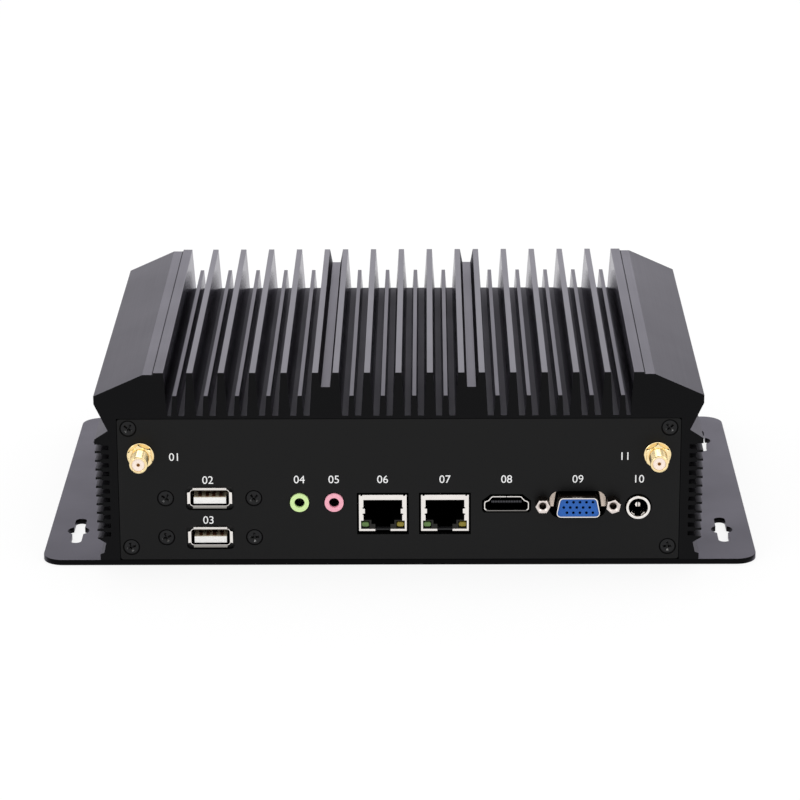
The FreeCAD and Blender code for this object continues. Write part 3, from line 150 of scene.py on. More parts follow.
@dataclass(frozen=True)
class Extent:
    """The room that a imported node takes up, in millimetres."""

    low: Vector
    high: Vector

    @classmethod
    def of(cls, node: str) -> Extent:
        """The extent of a node at rest."""
        low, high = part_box(node)
        return cls(Vector(low) / MM, Vector(high) / MM)

    @property
    def centre(self) -> Vector:
        """The middle of the extent."""
        return (self.low + self.high) / 2

    @property
    def size(self) -> Vector:
        """The three sides of the extent."""
        return self.high - self.low

    def plane(self, facing: Facing) -> float:
        """The Y of the side that looks to the front or to the rear."""
        return self.low.y if facing is Facing.FRONT else self.high.y

    def on(self, facing: Facing, turn: float = 0.0) -> Matrix:
        """The placement of a piece on the middle of the side that looks to the front or rear."""
        return facing.at((self.centre.x, self.plane(facing), self.centre.z), turn)


# ------------------------------------------------------------------ meshes

def angles(sweep: float, count: int) -> list[float]:
    """Evenly spread angles from 0 to a sweep, with both ends."""
    return [sweep * number / (count - 1) for number in range(count)]


def ring(level: float, radius: Radius, steps: int = STEPS) -> list[Vector]:
    """A closed ring of points about Z.

    Args:
        level: The height of the ring.
        radius: The radius, or a function that gives it at an angle in radians.
        steps: How many points the ring has.

    Returns:
        The points, anticlockwise seen from above.
    """
    points = []
    for number in range(steps):
        angle = math.tau * number / steps
        reach = radius(angle) if callable(radius) else radius
        points.append(Vector((reach * math.cos(angle), reach * math.sin(angle), level)))
    return points


def hexagonal(across_flats: float, limit: float = math.inf) -> Callable[[float], float]:
    """The radius of a hexagon, cut back to a circle where a chamfer takes its corners.

    Args:
        across_flats: The hexagon's width over two flats.
        limit: The radius of the circle that it is cut back to.

    Returns:
        A function from an angle in radians to a radius.
    """
    sixth = math.tau / 6

    def radius(angle: float) -> float:
        """The distance to the outline at an angle."""
        off = (angle % sixth) - sixth / 2
        return min(across_flats / 2 / math.cos(off), limit)

    return radius


def threaded(level: float, root: float, crest: float, pitch: float) -> Callable[[float], float]:
    """The radius of a right-handed thread at a height.

    Args:
        level: The height along the thread.
        root: The radius at the bottom of the thread.
        crest: The radius at the top of the thread.
        pitch: The distance from one crest to the next.

    Returns:
        A function from an angle in radians to a radius.
    """
    def radius(angle: float) -> float:
        """The distance to the flank at an angle."""
        phase = (level / pitch - angle / math.tau) % 1.0
        return root + (crest - root) * min(1.0, FLANK_SLOPE * (0.5 - abs(phase - 0.5)))

    return radius


def thread(start: float, stop: float, root: float, crest: float, pitch: float, slices: int,
           steps: int = STEPS) -> Rings:
    """The rings of a thread.

    Args:
        start: The height of the first ring.
        stop: The height that the rings stay short of.
        root: The radius at the bottom of the thread.
        crest: The radius at the top of the thread.
        pitch: The distance from one crest to the next.
        slices: How many rings there are to a pitch.
        steps: How many points a ring has.

    Returns:
        The rings, in order.
    """
    rings, level = [], start
    rise = math.copysign(pitch / slices, stop - start)
    while (stop - level) * rise > 0:
        rings.append(ring(level, threaded(level, root, crest, pitch), steps))
        level += rise
    return rings


def rounded_outline(corners: Sequence[Point], radius: float, steps: int = 5) -> list[Point]:
    """An outline with rounded corners, some of which may be hollow.

    Args:
        corners: The corners, anticlockwise.
        radius: The radius of each corner.
        steps: How many points each corner has.

    Returns:
        The points of the outline.
    """
    points: list[Point] = []
    for number, corner in enumerate(corners):
        here = Vector(corner)
        before = (Vector(corners[number - 1]) - here).normalized()
        after = (Vector(corners[(number + 1) % len(corners)]) - here).normalized()
        half = before.angle(after) / 2
        centre = here + (before + after).normalized() * radius / math.sin(half)
        start = here + before * radius / math.tan(half) - centre
        sweep = math.copysign(math.pi - 2 * half, -before.cross(after))
        points += [tuple(centre + Matrix.Rotation(angle, 2) @ start)
                   for angle in angles(sweep, steps)]
    return points


def dee(width: float, tall: float, slope: float, corner: float, wide_side: int = 1) -> list[Point]:
    """A D-shaped outline about the origin.

    Args:
        width: The width of its wide side.
        tall: Its height.
        slope: How much narrower each end is on its narrow side.
        corner: The radius of its corners.
        wide_side: 1 with the wide side up, and -1 with it down.

    Returns:
        The points of the outline.
    """
    half, rise = width / 2, tall / 2
    corners = [(-half + slope, -rise), (half - slope, -rise), (half, rise), (-half, rise)]
    if wide_side < 0:
        corners = [(x, -y) for x, y in reversed(corners)]
    return rounded_outline(corners, corner)


def block(width: float, height: float, x: float = 0.0, y: float = 0.0) -> list[Point]:
    """The corners of a rectangle about a point, anticlockwise."""
    return [(x + aside * width / 2, y + up * height / 2)
            for aside, up in ((-1, -1), (1, -1), (1, 1), (-1, 1))]


def flat(outline: Iterable[Point], level: float) -> list[Vector]:
    """A ring of points at one height."""
    return [Vector((x, y, level)) for x, y in outline]


class Solid:
    """A closed mesh that is built up from rings of points, in millimetres."""

    def __init__(self) -> None:
        """Starts with nothing."""
        self.mesh = bmesh.new()

    def skin(self, rings: Sequence[Sequence[Vector]], looped: bool = False,
             capped: tuple[bool, bool] = (True, True)) -> list[bmesh.types.BMVert]:
        """Joins rings of equally many points.

        Args:
            rings: The rings, in order.
            looped: Whether the last ring joins the first, in place of two caps.
            capped: Whether the first and the last ring are closed by a cap.

        Returns:
            The vertices of the last ring.
        """
        rows = [[self.mesh.verts.new(point) for point in points] for points in rings]
        pairs = list(zip(rows, rows[1:]))
        if looped:
            pairs.append((rows[-1], rows[0]))
        elif capped[0]:
            self.mesh.faces.new(rows[0][::-1])
        if not looped and capped[1]:
            self.mesh.faces.new(rows[-1])
        count = len(rows[0])
        for lower, upper in pairs:
            for index in range(count):
                after = (index + 1) % count
                self.mesh.faces.new((lower[index], lower[after], upper[after], upper[index]))
        return rows[-1]

    def lathe(self, profile: Iterable[Point], looped: bool = False, steps: int = STEPS) -> Solid:
        """Turns (radius, height) points about Z."""
        self.skin([ring(level, radius, steps) for radius, level in profile], looped)
        return self

    def tube(self, outer: float, inner: float, low: float, high: float) -> Solid:
        """A round tube from one height to another."""
        return self.lathe([(outer, low), (outer, high), (inner, high), (inner, low)], looped=True)

    def prism(self, outline: Sequence[Point], low: float, high: float) -> Solid:
        """Raises an outline from one height to another."""
        self.skin([flat(outline, low), flat(outline, high)])
        return self

    def frame(self, outer: Sequence[Point], inner: Sequence[Point], low: float,
              high: float) -> Solid:
        """A wall between two outlines of equally many points."""
        self.skin([flat(outer, low), flat(outer, high), flat(inner, high), flat(inner, low)], True)
        return self

    def sweep(self, path: Sequence[Point], width: float, thickness: float,
              x: float = 0.0) -> Solid:
        """A flat strip that follows a path across Y and Z.

        Args:
            path: The (Y, Z) points of the strip's middle.
            width: The width of the strip along X.
            thickness: The thickness of the strip.
            x: The middle of the strip along X.

        Returns:
            The solid itself.
        """
        rings = []
        for number, (y, z) in enumerate(path):
            before = Vector(path[max(number - 1, 0)])
            after = Vector(path[min(number + 1, len(path) - 1)])
            along = (after - before).normalized()
            side = Vector((-along.y, along.x)) * thickness
            rings.append([Vector((x + across, y + up * side.x, z + up * side.y))
                          for across, up in block(width, 1.0)])
        self.skin(rings)
        return self

    def cross_recess(self, rim: list[bmesh.types.BMVert], span: float, width: float, depth: float,
                     taper: float) -> None:
        """Closes an open rim with a face that has a cross recess in it.

        Args:
            rim: The vertices of the open rim.
            span: The length of the cross from tip to tip.
            width: The width of its arms.
            depth: The depth of the recess.
            taper: How large its floor is, where its mouth is 1.
        """
        level = rim[0].co.z
        far, near = span / 2, width / 2
        arms = [(near, near), (near, far), (-near, far), (-near, near), (-far, near), (-far, -near),
                (-near, -near), (-near, -far), (near, -far), (near, -near), (far, -near),
                (far, near)]
        mouth = [self.mesh.verts.new((x, y, level)) for x, y in arms]
        floor = [self.mesh.verts.new((x * taper, y * taper, level - depth)) for x, y in arms]
        edges = [self.mesh.edges.get((rim[index - 1], rim[index])) for index in range(len(rim))]
        edges += [self.mesh.edges.new((mouth[index - 1], mouth[index]))
                  for index in range(len(mouth))]
        bmesh.ops.triangle_fill(self.mesh, use_beauty=True, use_dissolve=False, edges=edges)
        for index in range(len(mouth)):
            wall = self.mesh.faces.new((mouth[index - 1], mouth[index], floor[index],
                                        floor[index - 1]))
            wall.material_index = 1
        self.mesh.faces.new(floor)

    def second(self, chosen: Callable[[Vector, Vector], bool]) -> Solid:
        """Keeps faces apart for the second finish.

        Args:
            chosen: Whether a face is kept apart, from its middle and the way it faces.

        Returns:
            The solid itself.
        """
        bmesh.ops.recalc_face_normals(self.mesh, faces=self.mesh.faces)
        for face in self.mesh.faces:
            if chosen(face.calc_center_median(), face.normal):
                face.material_index = 1
        return self

    def add(self, other: bpy.types.Mesh) -> None:
        """Takes in a finished mesh."""
        self.mesh.from_mesh(other)

    def copies(self, placements: Iterable[Matrix]) -> bpy.types.Mesh:
        """Bakes the solid at each placement into one mesh, and uses the solid up.

        Args:
            placements: Where each copy goes, in millimetres.

        Returns:
            The mesh, in metres.
        """
        result = bmesh.new()
        scratch = bpy.data.meshes.new("scratch")
        bmesh.ops.recalc_face_normals(self.mesh, faces=self.mesh.faces)
        self.mesh.to_mesh(scratch)
        for placement in placements:
            placed = scratch.copy()
            placed.transform(Matrix.Scale(MM, 4) @ placement)
            result.from_mesh(placed)
            bpy.data.meshes.remove(placed)
        mesh = bpy.data.meshes.new("mesh")
        result.to_mesh(mesh)
        result.free()
        self.mesh.free()
        bpy.data.meshes.remove(scratch)
        return mesh


# ------------------------------------------------------------------ shader graphs

class Wire:
    """A shader socket that takes part in arithmetic."""

    def __init__(self, graph: Graph, socket: bpy.types.NodeSocket) -> None:
        """Wraps an output socket of a graph."""
        self.graph = graph
        self.socket = socket

    def _math(self, operation: str, *values: Wire | float) -> Wire:
        """Adds a Math node."""
        return self.graph.node("ShaderNodeMath", {"operation": operation}, dict(enumerate(values)))

    def __add__(self, other: Wire | float) -> Wire:
        """self + other."""
        return self._math("ADD", self, other)

    def __radd__(self, other: float) -> Wire:
        """other + self."""
        return self._math("ADD", other, self)

    def __sub__(self, other: Wire | float) -> Wire:
        """self - other."""
        return self._math("SUBTRACT", self, other)

    def __mul__(self, other: Wire | float) -> Wire:
        """self * other."""
        return self._math("MULTIPLY", self, other)

    def __rmul__(self, other: float) -> Wire:
        """other * self."""
        return self._math("MULTIPLY", other, self)

    def __gt__(self, other: Wire | float) -> Wire:
        """1 where self is above other, and 0 elsewhere."""
        return self._math("GREATER_THAN", self, other)

    def __lt__(self, other: Wire | float) -> Wire:
        """1 where self is below other, and 0 elsewhere."""
        return self._math("LESS_THAN", self, other)

    def __abs__(self) -> Wire:
        """The size of self, without its sign."""
        return self._math("ABSOLUTE", self)

    def maximum(self, other: Wire | float) -> Wire:
        """The larger of the two."""
        return self._math("MAXIMUM", self, other)


class Graph:
    """The node tree of a material or of the world."""

    def __init__(self, owner: bpy.types.Material | bpy.types.World) -> None:
        """Empties the node tree of its owner.

        Args:
            owner: The material or the world.
        """
        owner.use_nodes = True
        self.tree = owner.node_tree
        self.tree.nodes.clear()

    def node(self, kind: str, settings: dict[str, object] | None = None,
             inputs: dict[str | int, object] | None = None, output: str | int = 0) -> Wire:
        """Adds a node.

        Args:
            kind: The type of the node.
            settings: The properties of the node.
            inputs: A value or a wire for each named or numbered socket.
            output: Which output is handed back.

        Returns:
            The wire of that output.
        """
        made = self.tree.nodes.new(kind)
        for name, value in (settings or {}).items():
            setattr(made, name, value)
        for name, value in (inputs or {}).items():
            if isinstance(value, Wire):
                self.tree.links.new(value.socket, made.inputs[name])
            else:
                made.inputs[name].default_value = value
        return Wire(self, made.outputs[output] if made.outputs else made.inputs[0])

    def place(self) -> Wire:
        """The point on the surface, in metres, in the frame of the case."""
        return self.node("ShaderNodeTexCoord", output="Object")

    def facing(self) -> Wire:
        """The direction that the surface faces, in the frame of the case."""
        return self.node("ShaderNodeTexCoord", output="Normal")

    def part(self, vector: Wire, axis: str) -> Wire:
        """One coordinate of a vector."""
        return self.node("ShaderNodeSeparateXYZ", inputs={0: vector}, output=axis)

    def stretched(self, place: Wire, scale: Sequence[float]) -> Wire:
        """A point with each of its coordinates scaled by its own factor."""
        return self.node("ShaderNodeVectorMath", {"operation": "MULTIPLY"},
                         {0: place, 1: tuple(scale)})

    def noise(self, place: Wire, scale: float, detail: float = 2.0) -> Wire:
        """Smooth noise from 0 to 1, about 0.5."""
        return self.node("ShaderNodeTexNoise",
                         inputs={"Vector": place, "Scale": scale, "Detail": detail})

    def blend(self, factor: Wire | float, first: Colour | Wire, second: Colour | Wire) -> Wire:
        """Mixes two colours.

        Args:
            factor: How much there is of the second one.
            first: The first colour.
            second: The second colour.

        Returns:
            The wire of the mixed colour.
        """
        ends = [(*end, 1.0) if isinstance(end, tuple) else end for end in (first, second)]
        return self.node("ShaderNodeMix", {"data_type": "RGBA"},
                         {0: factor, 6: ends[0], 7: ends[1]}, 2)

    def bump(self, height: Wire, depth: float) -> Wire:
        """A normal from a height of 0 to 1, where 1 stands for a depth in millimetres."""
        return self.node("ShaderNodeBump", inputs={"Height": height, "Distance": depth * MM})

    def surface(self, shader: Wire) -> None:
        """Makes a shader the surface of the tree."""
        owner = "World" if isinstance(self.tree.id_data, bpy.types.World) else "Material"
        self.node(f"ShaderNodeOutput{owner}", inputs={"Surface": shader})


# ------------------------------------------------------------------ finishes

@dataclass(frozen=True)
class Zone:
    """The part of a surface that lies within bounds, in millimetres, with a look of its own.

    It faces along one axis, or any way at all if that is left empty. The bounds aside count from
    the middle of the case.
    """

    axis: str
    colour: Colour
    roughness: float
    low: float = -math.inf
    high: float = math.inf
    inner: float = -math.inf
    outer: float = math.inf
    front: float = -math.inf
    back: float = math.inf

    def mask(self, graph: Graph, place: Wire) -> Wire:
        """Tells the zone from the rest of the surface.

        Args:
            graph: The graph of the material.
            place: The point on the surface.

        Returns:
            1 inside the zone, and 0 elsewhere.
        """
        tests = []
        if self.axis:
            tests.append(abs(graph.part(graph.facing(), self.axis)) > FACING_SHARE)
        for value, least, most in ((graph.part(place, "Z"), self.low, self.high),
                                   (abs(graph.part(place, "X")), self.inner, self.outer),
                                   (graph.part(place, "Y"), self.front, self.back)):
            if math.isfinite(least):
                tests.append(value > least * MM)
            if math.isfinite(most):
                tests.append(value < most * MM)
        return math.prod(tests)


@dataclass(frozen=True)
class Finish:
    """A surface: its colour and shine, and how both vary over it."""

    name: str
    slot: str
    colour: Colour
    roughness: float = 0.4
    metallic: float = 0.0
    ior: float = 1.5
    specular: float = 0.5
    tint: Colour = (1.0, 1.0, 1.0)
    shade: float = 0.85
    mottle_scale: float = 60.0
    mottle_detail: float = 4.0
    mottle_shine: float = 0.14
    grain_scale: float = 2200.0
    grain_depth: float = 0.004
    zones: tuple[Zone, ...] = ()

    def material(self) -> bpy.types.Material:
        """Makes the material of this finish on its first use.

        Returns:
            The material.
        """
        made = bpy.data.materials.get(self.name)
        if made is None:
            made = bpy.data.materials.new(self.name)
            graph = Graph(made)
            graph.surface(self.shader(graph))
        return made

    @property
    def darker(self) -> Colour:
        """The colour where the surface is darkest."""
        return tuple(channel * self.shade for channel in self.colour)

    def shader(self, graph: Graph) -> Wire:
        """Builds the shader of this finish.

        Args:
            graph: The graph of the material.

        Returns:
            The wire of the shader.
        """
        place = graph.place()
        mottle = graph.noise(place, self.mottle_scale, self.mottle_detail)
        grain = graph.noise(place, self.grain_scale)
        colour, roughness = self.zoned(graph, place, graph.blend(mottle, self.darker, self.colour),
                                       self.roughness + (mottle - 0.5) * self.mottle_shine)
        return self.coat(graph, colour, roughness, graph.bump(grain, self.grain_depth))

    def zoned(self, graph: Graph, place: Wire, colour: Wire, roughness: Wire) -> tuple[Wire, Wire]:
        """Gives the zones their own looks.

        Args:
            graph: The graph of the material.
            place: The point on the surface.
            colour: The colour outside the zones.
            roughness: The roughness outside the zones.

        Returns:
            The colour and the roughness, with those of the zones inside them.
        """
        for zone in self.zones:
            mask = zone.mask(graph, place)
            colour = graph.blend(mask, colour, zone.colour)
            roughness = roughness + mask * (zone.roughness - self.roughness)
        return colour, roughness

    def coat(self, graph: Graph, colour: Wire, roughness: Wire, normal: Wire) -> Wire:
        """Makes a principled shader with this finish's constants.

        Args:
            graph: The graph of the material.
            colour: The varying colour.
            roughness: The varying roughness.
            normal: The bumped normal.

        Returns:
            The wire of the shader.
        """
        return graph.node("ShaderNodeBsdfPrincipled", inputs={
            "Base Color": colour, "Roughness": roughness, "Normal": normal,
            "Metallic": self.metallic, "IOR": self.ior, "Specular IOR Level": self.specular,
            "Specular Tint": (*self.tint, 1.0)})


@dataclass(frozen=True)
class Metal(Finish):
    """A bare or plated metal."""

    metallic: float = 1.0
    mottle_scale: float = 400.0


@dataclass(frozen=True)
class DrawnMetal(Metal):
    """A metal with fine lines along the way that it was drawn through its die or rolled."""

    mottle_shine: float = 0.1
    drawn: Colour = (1400.0, 14.0, 1400.0)
    line_detail: float = 3.0
    line_share: float = 0.4
    line_relief: float = 0.6
    line_depth: float = 0.006
    line_shine: float = 0.16

    def shader(self, graph: Graph) -> Wire:
        """Builds the shader of this finish.

        Args:
            graph: The graph of the material.

        Returns:
            The wire of the shader.
        """
        place = graph.place()
        mottle = graph.noise(place, self.mottle_scale, self.mottle_detail)
        grain = graph.noise(place, self.grain_scale)
        lines = graph.noise(graph.stretched(place, self.drawn), 1.0, self.line_detail)
        light = mottle * (1 - self.line_share) + lines * self.line_share
        roughness = (self.roughness + (mottle - 0.5) * self.mottle_shine
                     + (lines - 0.5) * self.line_shine)
        colour, roughness = self.zoned(graph, place, graph.blend(light, self.darker, self.colour),
                                       roughness)
        relief = grain * (1 - self.line_relief) + lines * self.line_relief
        return self.coat(graph, colour, roughness, graph.bump(relief, self.line_depth))


@dataclass(frozen=True)
class Laminate(Finish):
    """Lacquered circuit board with tracks under the lacquer."""

    track_colour: Colour = (0.03, 0.2, 0.08)
    track_scale: float = 260.0
    track_width: float = 0.06
    track_offset: float = 0.35
    grain_shine: float = 0.1

    def shader(self, graph: Graph) -> Wire:
        """Builds the shader of this finish.

        Args:
            graph: The graph of the material.

        Returns:
            The wire of the shader.
        """
        place = graph.place()
        tracks = graph.node("ShaderNodeTexBrick", {"offset": self.track_offset}, {
            "Vector": place, "Scale": self.track_scale, "Mortar Size": self.track_width,
            "Color1": (0, 0, 0, 1), "Color2": (0, 0, 0, 1), "Mortar": (1, 1, 1, 1)}, "Fac")
        grain = graph.noise(place, self.grain_scale)
        return self.coat(graph, graph.blend(tracks, self.colour, self.track_colour),
                         self.roughness + grain * self.grain_shine,
                         graph.bump(tracks, self.grain_depth))


# A near-black painted as shade: in grooves and windows of the case, inside shells and inserts, and
# over the lower front flanges.
PAINTED_SHADE = (0.0008, 0.0008, 0.0008)
ANODISED = (0.0100, 0.0100, 0.0106)
# Painted light and shade on one black anodising: the tips of the fins painted lighter as a
# painted sheen, the floors between them painted a lighter, rougher tone where light falls, the
# seam at the crests rougher in the plain colour, the sides of the fins painted darker as shade,
# the grooves beside the bars painted shade, and the ribs of the flanks painted lighter at their
# outer ends and painted shade in the windows within.
CASE_PAINTED_LIGHT_ZONES = (Zone("Z", (0.065, 0.065, 0.068), 0.40, low=70.0, outer=83.0),
              Zone("Z", (0.030, 0.030, 0.032), 0.60, low=50.0, high=58.0),
              Zone("Z", ANODISED, 0.75, low=71.2, high=71.8, inner=86.3, outer=86.8),
              Zone("X", (0.004, 0.004, 0.004), 0.22, low=56.0, outer=83.5),
              Zone("X", PAINTED_SHADE, 0.70, low=66.5, inner=22.9, outer=28.5),
              Zone("Z", (0.030, 0.030, 0.031), 0.50, 10.5, 47.0, 105.4, 108.0),
              Zone("Z", PAINTED_SHADE, 0.60, 10.5, 47.0, 102.0, 105.4),
              Zone("X", PAINTED_SHADE, 0.60, 10.5, 47.0, 102.0, 105.4))
BLACK_CASE = DrawnMetal("black_extrusion", "case_finish", ANODISED, 0.36, tint=(0.95, 0.93, 1.0),
                        mottle_scale=25.0, line_depth=0.001, line_shine=0.04, zones=CASE_PAINTED_LIGHT_ZONES)
BLACK_SHEET = Finish("black_sheet", "case_finish", (0.0045, 0.0045, 0.0047), 0.38, specular=0.16,
                     mottle_scale=40.0, grain_scale=3200.0, grain_depth=0.003)
BLACK_PLATE = Metal("black_plate", "case_finish", (0.0065, 0.0065, 0.0070), 0.38,
                    tint=(0.94, 0.92, 1.0), mottle_scale=30.0, grain_scale=2600.0,
                    grain_depth=0.003)
BLACK_SCREW = Metal("black_screw", "black_screws", (0.026, 0.026, 0.027), 0.34, mottle_scale=700.0)
WORN_SCREW = Metal("worn_screw", "black_screws", (0.24, 0.24, 0.24), 0.3, mottle_scale=900.0,
                   shade=0.5)
SHADED_EDGE = Finish("shaded_edge", "case_finish", (0.002, 0.002, 0.002), 0.9, specular=0.02)
STEEL = Metal("plated_steel", "steel", (0.55, 0.55, 0.53), 0.32, mottle_scale=500.0)
NICKEL = Metal("bright_nickel", "nickel", (0.93, 0.89, 0.85), 0.22, grain_depth=0.002)
WARM_NICKEL = Metal("warm_nickel", "nickel", (0.80, 0.72, 0.68), 0.3)
DEEP_NICKEL = replace(NICKEL, name="shaded_nickel",
                      zones=(Zone("", PAINTED_SHADE, 0.6, front=-79.95, back=0.0),))
# folded_nickel paints shade: a darker tone below 20.95 mm and near-black behind the shell's front.
DIGITAL_NICKEL = replace(NICKEL, name="folded_nickel",
                         zones=(Zone("", (0.24, 0.23, 0.22), 0.3, high=20.95),
                                Zone("", PAINTED_SHADE, 0.6, front=-80.2)))
# drawn_nickel paints shade inside the front D shells, in three ever darker steps behind the lip.
DRAWN_NICKEL = replace(NICKEL, name="drawn_nickel",
                       zones=(Zone("", (0.30, 0.24, 0.20), 0.3, front=-85.2, back=0.0),
                              Zone("", (0.05, 0.03, 0.018), 0.3, front=-84.4, back=0.0),
                              Zone("", (0.004, 0.003, 0.002), 0.3, front=-83.2, back=0.0)))
# A dark copy of the bright nickel, painted on the inner walls of the USB shells as shade.
PAINTED_SHADE_NICKEL = replace(NICKEL, name="painted_shade_nickel", colour=(0.025, 0.020, 0.018), roughness=0.35)
# A dark copy of the warm nickel, painted as shade in the bores of the hex posts and on their
# up-facing faces further back.
SHADED_BORE_NICKEL = replace(NICKEL, name="shaded_bore_nickel", colour=(0.11, 0.085, 0.07), roughness=0.3)
# A dim tin tone painted on the lower lip of the USB shells as shade; faint_tin takes its shine for
# the contacts.
SHADED_LIP_TIN = Metal("shaded_lip_tin", "nickel", (0.30, 0.29, 0.27), 0.4, mottle_scale=900.0)
FAINT_TIN = replace(SHADED_LIP_TIN, name="faint_tin", colour=(0.10, 0.10, 0.11))
# Below 21.4 mm on the front flanges this finish paints near-black shade.
FLANGE = Metal("dull_nickel", "nickel", (0.86, 0.73, 0.63), 0.42, mottle_scale=300.0,
               zones=(Zone("", PAINTED_SHADE, 0.5, high=21.4, back=0.0),))
GOLD = Metal("gold_plate", "gold", (1.0, 0.80, 0.45), 0.13, mottle_scale=500.0, shade=0.93,
             grain_depth=0.001)
CONTACT = Metal("contact_gold", "gold", (0.62, 0.38, 0.16), 0.28, mottle_scale=900.0)
# A darker copy of the contact gold, painted on the USB contacts as the shade over the tongue.
SHADED_CONTACT = Metal("shaded_contact", "gold", (0.17, 0.075, 0.045), 0.35, mottle_scale=900.0)
BRASS = Metal("bare_brass", "brass", (0.66, 0.5, 0.24), 0.35, mottle_scale=300.0)
ALUMINIUM = DrawnMetal("milled_aluminium", "aluminium", (0.72, 0.72, 0.73), 0.35,
                       mottle_scale=60.0)
WHITE_PLASTIC = Finish("white_moulding", "white_plastic", (0.94, 0.93, 0.91), 0.3, shade=0.97,
                       mottle_scale=200.0)
CREAM_PLASTIC = Finish("cream_moulding", "white_plastic", (0.98, 0.84, 0.74), 0.35, shade=0.96,
                       mottle_scale=400.0)
SHADED_PLASTIC = replace(WHITE_PLASTIC, name="shaded_moulding", colour=(0.92, 0.80, 0.58),
                         roughness=0.5)
BLACK_PLASTIC = Finish("black_moulding", "black_plastic", (0.012, 0.012, 0.013), 0.42,
                       specular=0.3, mottle_scale=200.0)
MATT_PLASTIC = replace(BLACK_PLASTIC, name="matt_moulding", colour=(0.0012, 0.0012, 0.0012),
                       specular=0.0)
# Its zones paint shade: near-black behind the insert's front face and above 17 mm.
GREY_PLASTIC = Finish("grey_moulding", "grey_plastic", (0.034, 0.033, 0.031), 0.6, specular=0.0,
                      mottle_scale=200.0,
                      zones=(Zone("", PAINTED_SHADE, 0.9, front=-79.6), Zone("", PAINTED_SHADE, 0.9, low=17.0)))
BLUE_PLASTIC = Finish("blue_moulding", "blue_plastic", (0.011, 0.112, 0.46), 0.36, specular=0.35,
                      mottle_scale=300.0)
GREEN_PLASTIC = Finish("green_moulding", "green_plastic", (0.66, 0.88, 0.38), 0.38, shade=0.95,
                       mottle_scale=300.0)
PINK_PLASTIC = Finish("pink_moulding", "pink_plastic", (0.94, 0.42, 0.52), 0.38, shade=0.95,
                      mottle_scale=300.0)
GREEN_LENS = Finish("clouded_green", "green_lens", (0.13, 0.25, 0.06), 0.2, shade=0.5,
                    mottle_scale=900.0)
YELLOW_LENS = Finish("clouded_olive", "yellow_lens", (0.32, 0.25, 0.012), 0.2, shade=0.5,
                     mottle_scale=900.0)
CLEAR_LENS = Finish("clouded_clear", "clear_lens", (0.55, 0.58, 0.56), 0.15, mottle_scale=900.0)
CHIP = Finish("chip_package", "chip", (0.03, 0.03, 0.032), 0.5)
PAD = Finish("soft_pad", "thermal_pad", (0.40, 0.42, 0.46), 0.75, mottle_scale=500.0)
BOARD = Laminate("lacquered_laminate", "circuit_board", (0.012, 0.09, 0.035), 0.3)
INK = Finish("white_ink", "white_plastic", (0.92, 0.92, 0.92), 0.55, specular=0.2, shade=0.93,
             mottle_scale=1500.0, grain_depth=0.002)


# ------------------------------------------------------------------ the bench

class Bench:
    """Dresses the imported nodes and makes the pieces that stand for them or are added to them."""

    def __init__(self, frame: dict) -> None:
        """Takes the loaded frame."""
        self.nodes = frame["nodes"]
        self.count = 0

    def dress(self, finish: Finish, *nodes: str, edge: float = 0.0) -> None:
        """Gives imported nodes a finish, and breaks their sharp edges.

        Args:
            finish: The finish.
            nodes: The names of the nodes.
            edge: The width of the broken edges, in millimetres.
        """
        for node in nodes:
            thing = self.nodes[node]
            for slot in thing.material_slots:
                slot.material = finish.material()
            self.soften(thing, edge)
            LOG.info("dressed %s in %s", node, finish.name)

    def soften(self, thing: bpy.types.Object, edge: float) -> None:
        """Breaks the sharp edges of an object.

        Args:
            thing: The object.
            edge: The width of the broken edges, in millimetres. 0 leaves them sharp.
        """
        if not edge:
            return
        weld = thing.modifiers.new("weld", "WELD")
        weld.merge_threshold = WELD_REACH * MM
        bevel = thing.modifiers.new("edge", "BEVEL")
        bevel.width = edge * MM
        bevel.segments = 2
        bevel.limit_method = "ANGLE"
        bevel.angle_limit = math.radians(BROKEN_ANGLE)
        bevel.harden_normals = True

    def piece(self, name: str, solid: Solid, placements: Iterable[Matrix], finish: Finish,
              replaces: Sequence[str] = (), body: str = CASE, edge: float = 0.0,
              second: Finish | None = None) -> None:
        """Makes one object out of a solid.

        Args:
            name: The name of the piece.
            solid: The solid, which is used up.
            placements: Where each copy of it goes.
            finish: The finish.
            replaces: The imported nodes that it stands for.
            body: The body that it moves with.
            edge: The width of its broken edges, in millimetres.
            second: The finish of the faces that the solid keeps apart.
        """
        mesh = solid.copies(placements)
        mesh.name = name
        mesh.materials.append(finish.material())
        if second:
            mesh.materials.append(second.material())
        mesh.shade_smooth()
        mesh.set_sharp_from_angle(angle=math.radians(SHARP_ANGLE))
        thing = bpy.data.objects.new(name, mesh)
        bpy.context.scene.collection.objects.link(thing)
        self.soften(thing, edge)
        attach(thing, body)
        if replaces:
            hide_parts(*replaces)
        self.count += 1
        LOG.info("made %s: %d faces", name, len(mesh.polygons))


# ------------------------------------------------------------------ case

@dataclass
class Casing:
    """The extrusion, the plate and the two panels."""

    bench: Bench
    case_edge: float = 0.25
    panel_edge: float = 0.15
    plate_edge: float = 0.25

    def build(self) -> None:
        """Dresses the four pieces."""
        self.bench.dress(BLACK_CASE, "heatsink_chassis", edge=self.case_edge)
        self.bench.dress(BLACK_PLATE, "base_plate", edge=self.plate_edge)
        self.bench.dress(BLACK_SHEET, "front_panel", "rear_panel", edge=self.panel_edge)


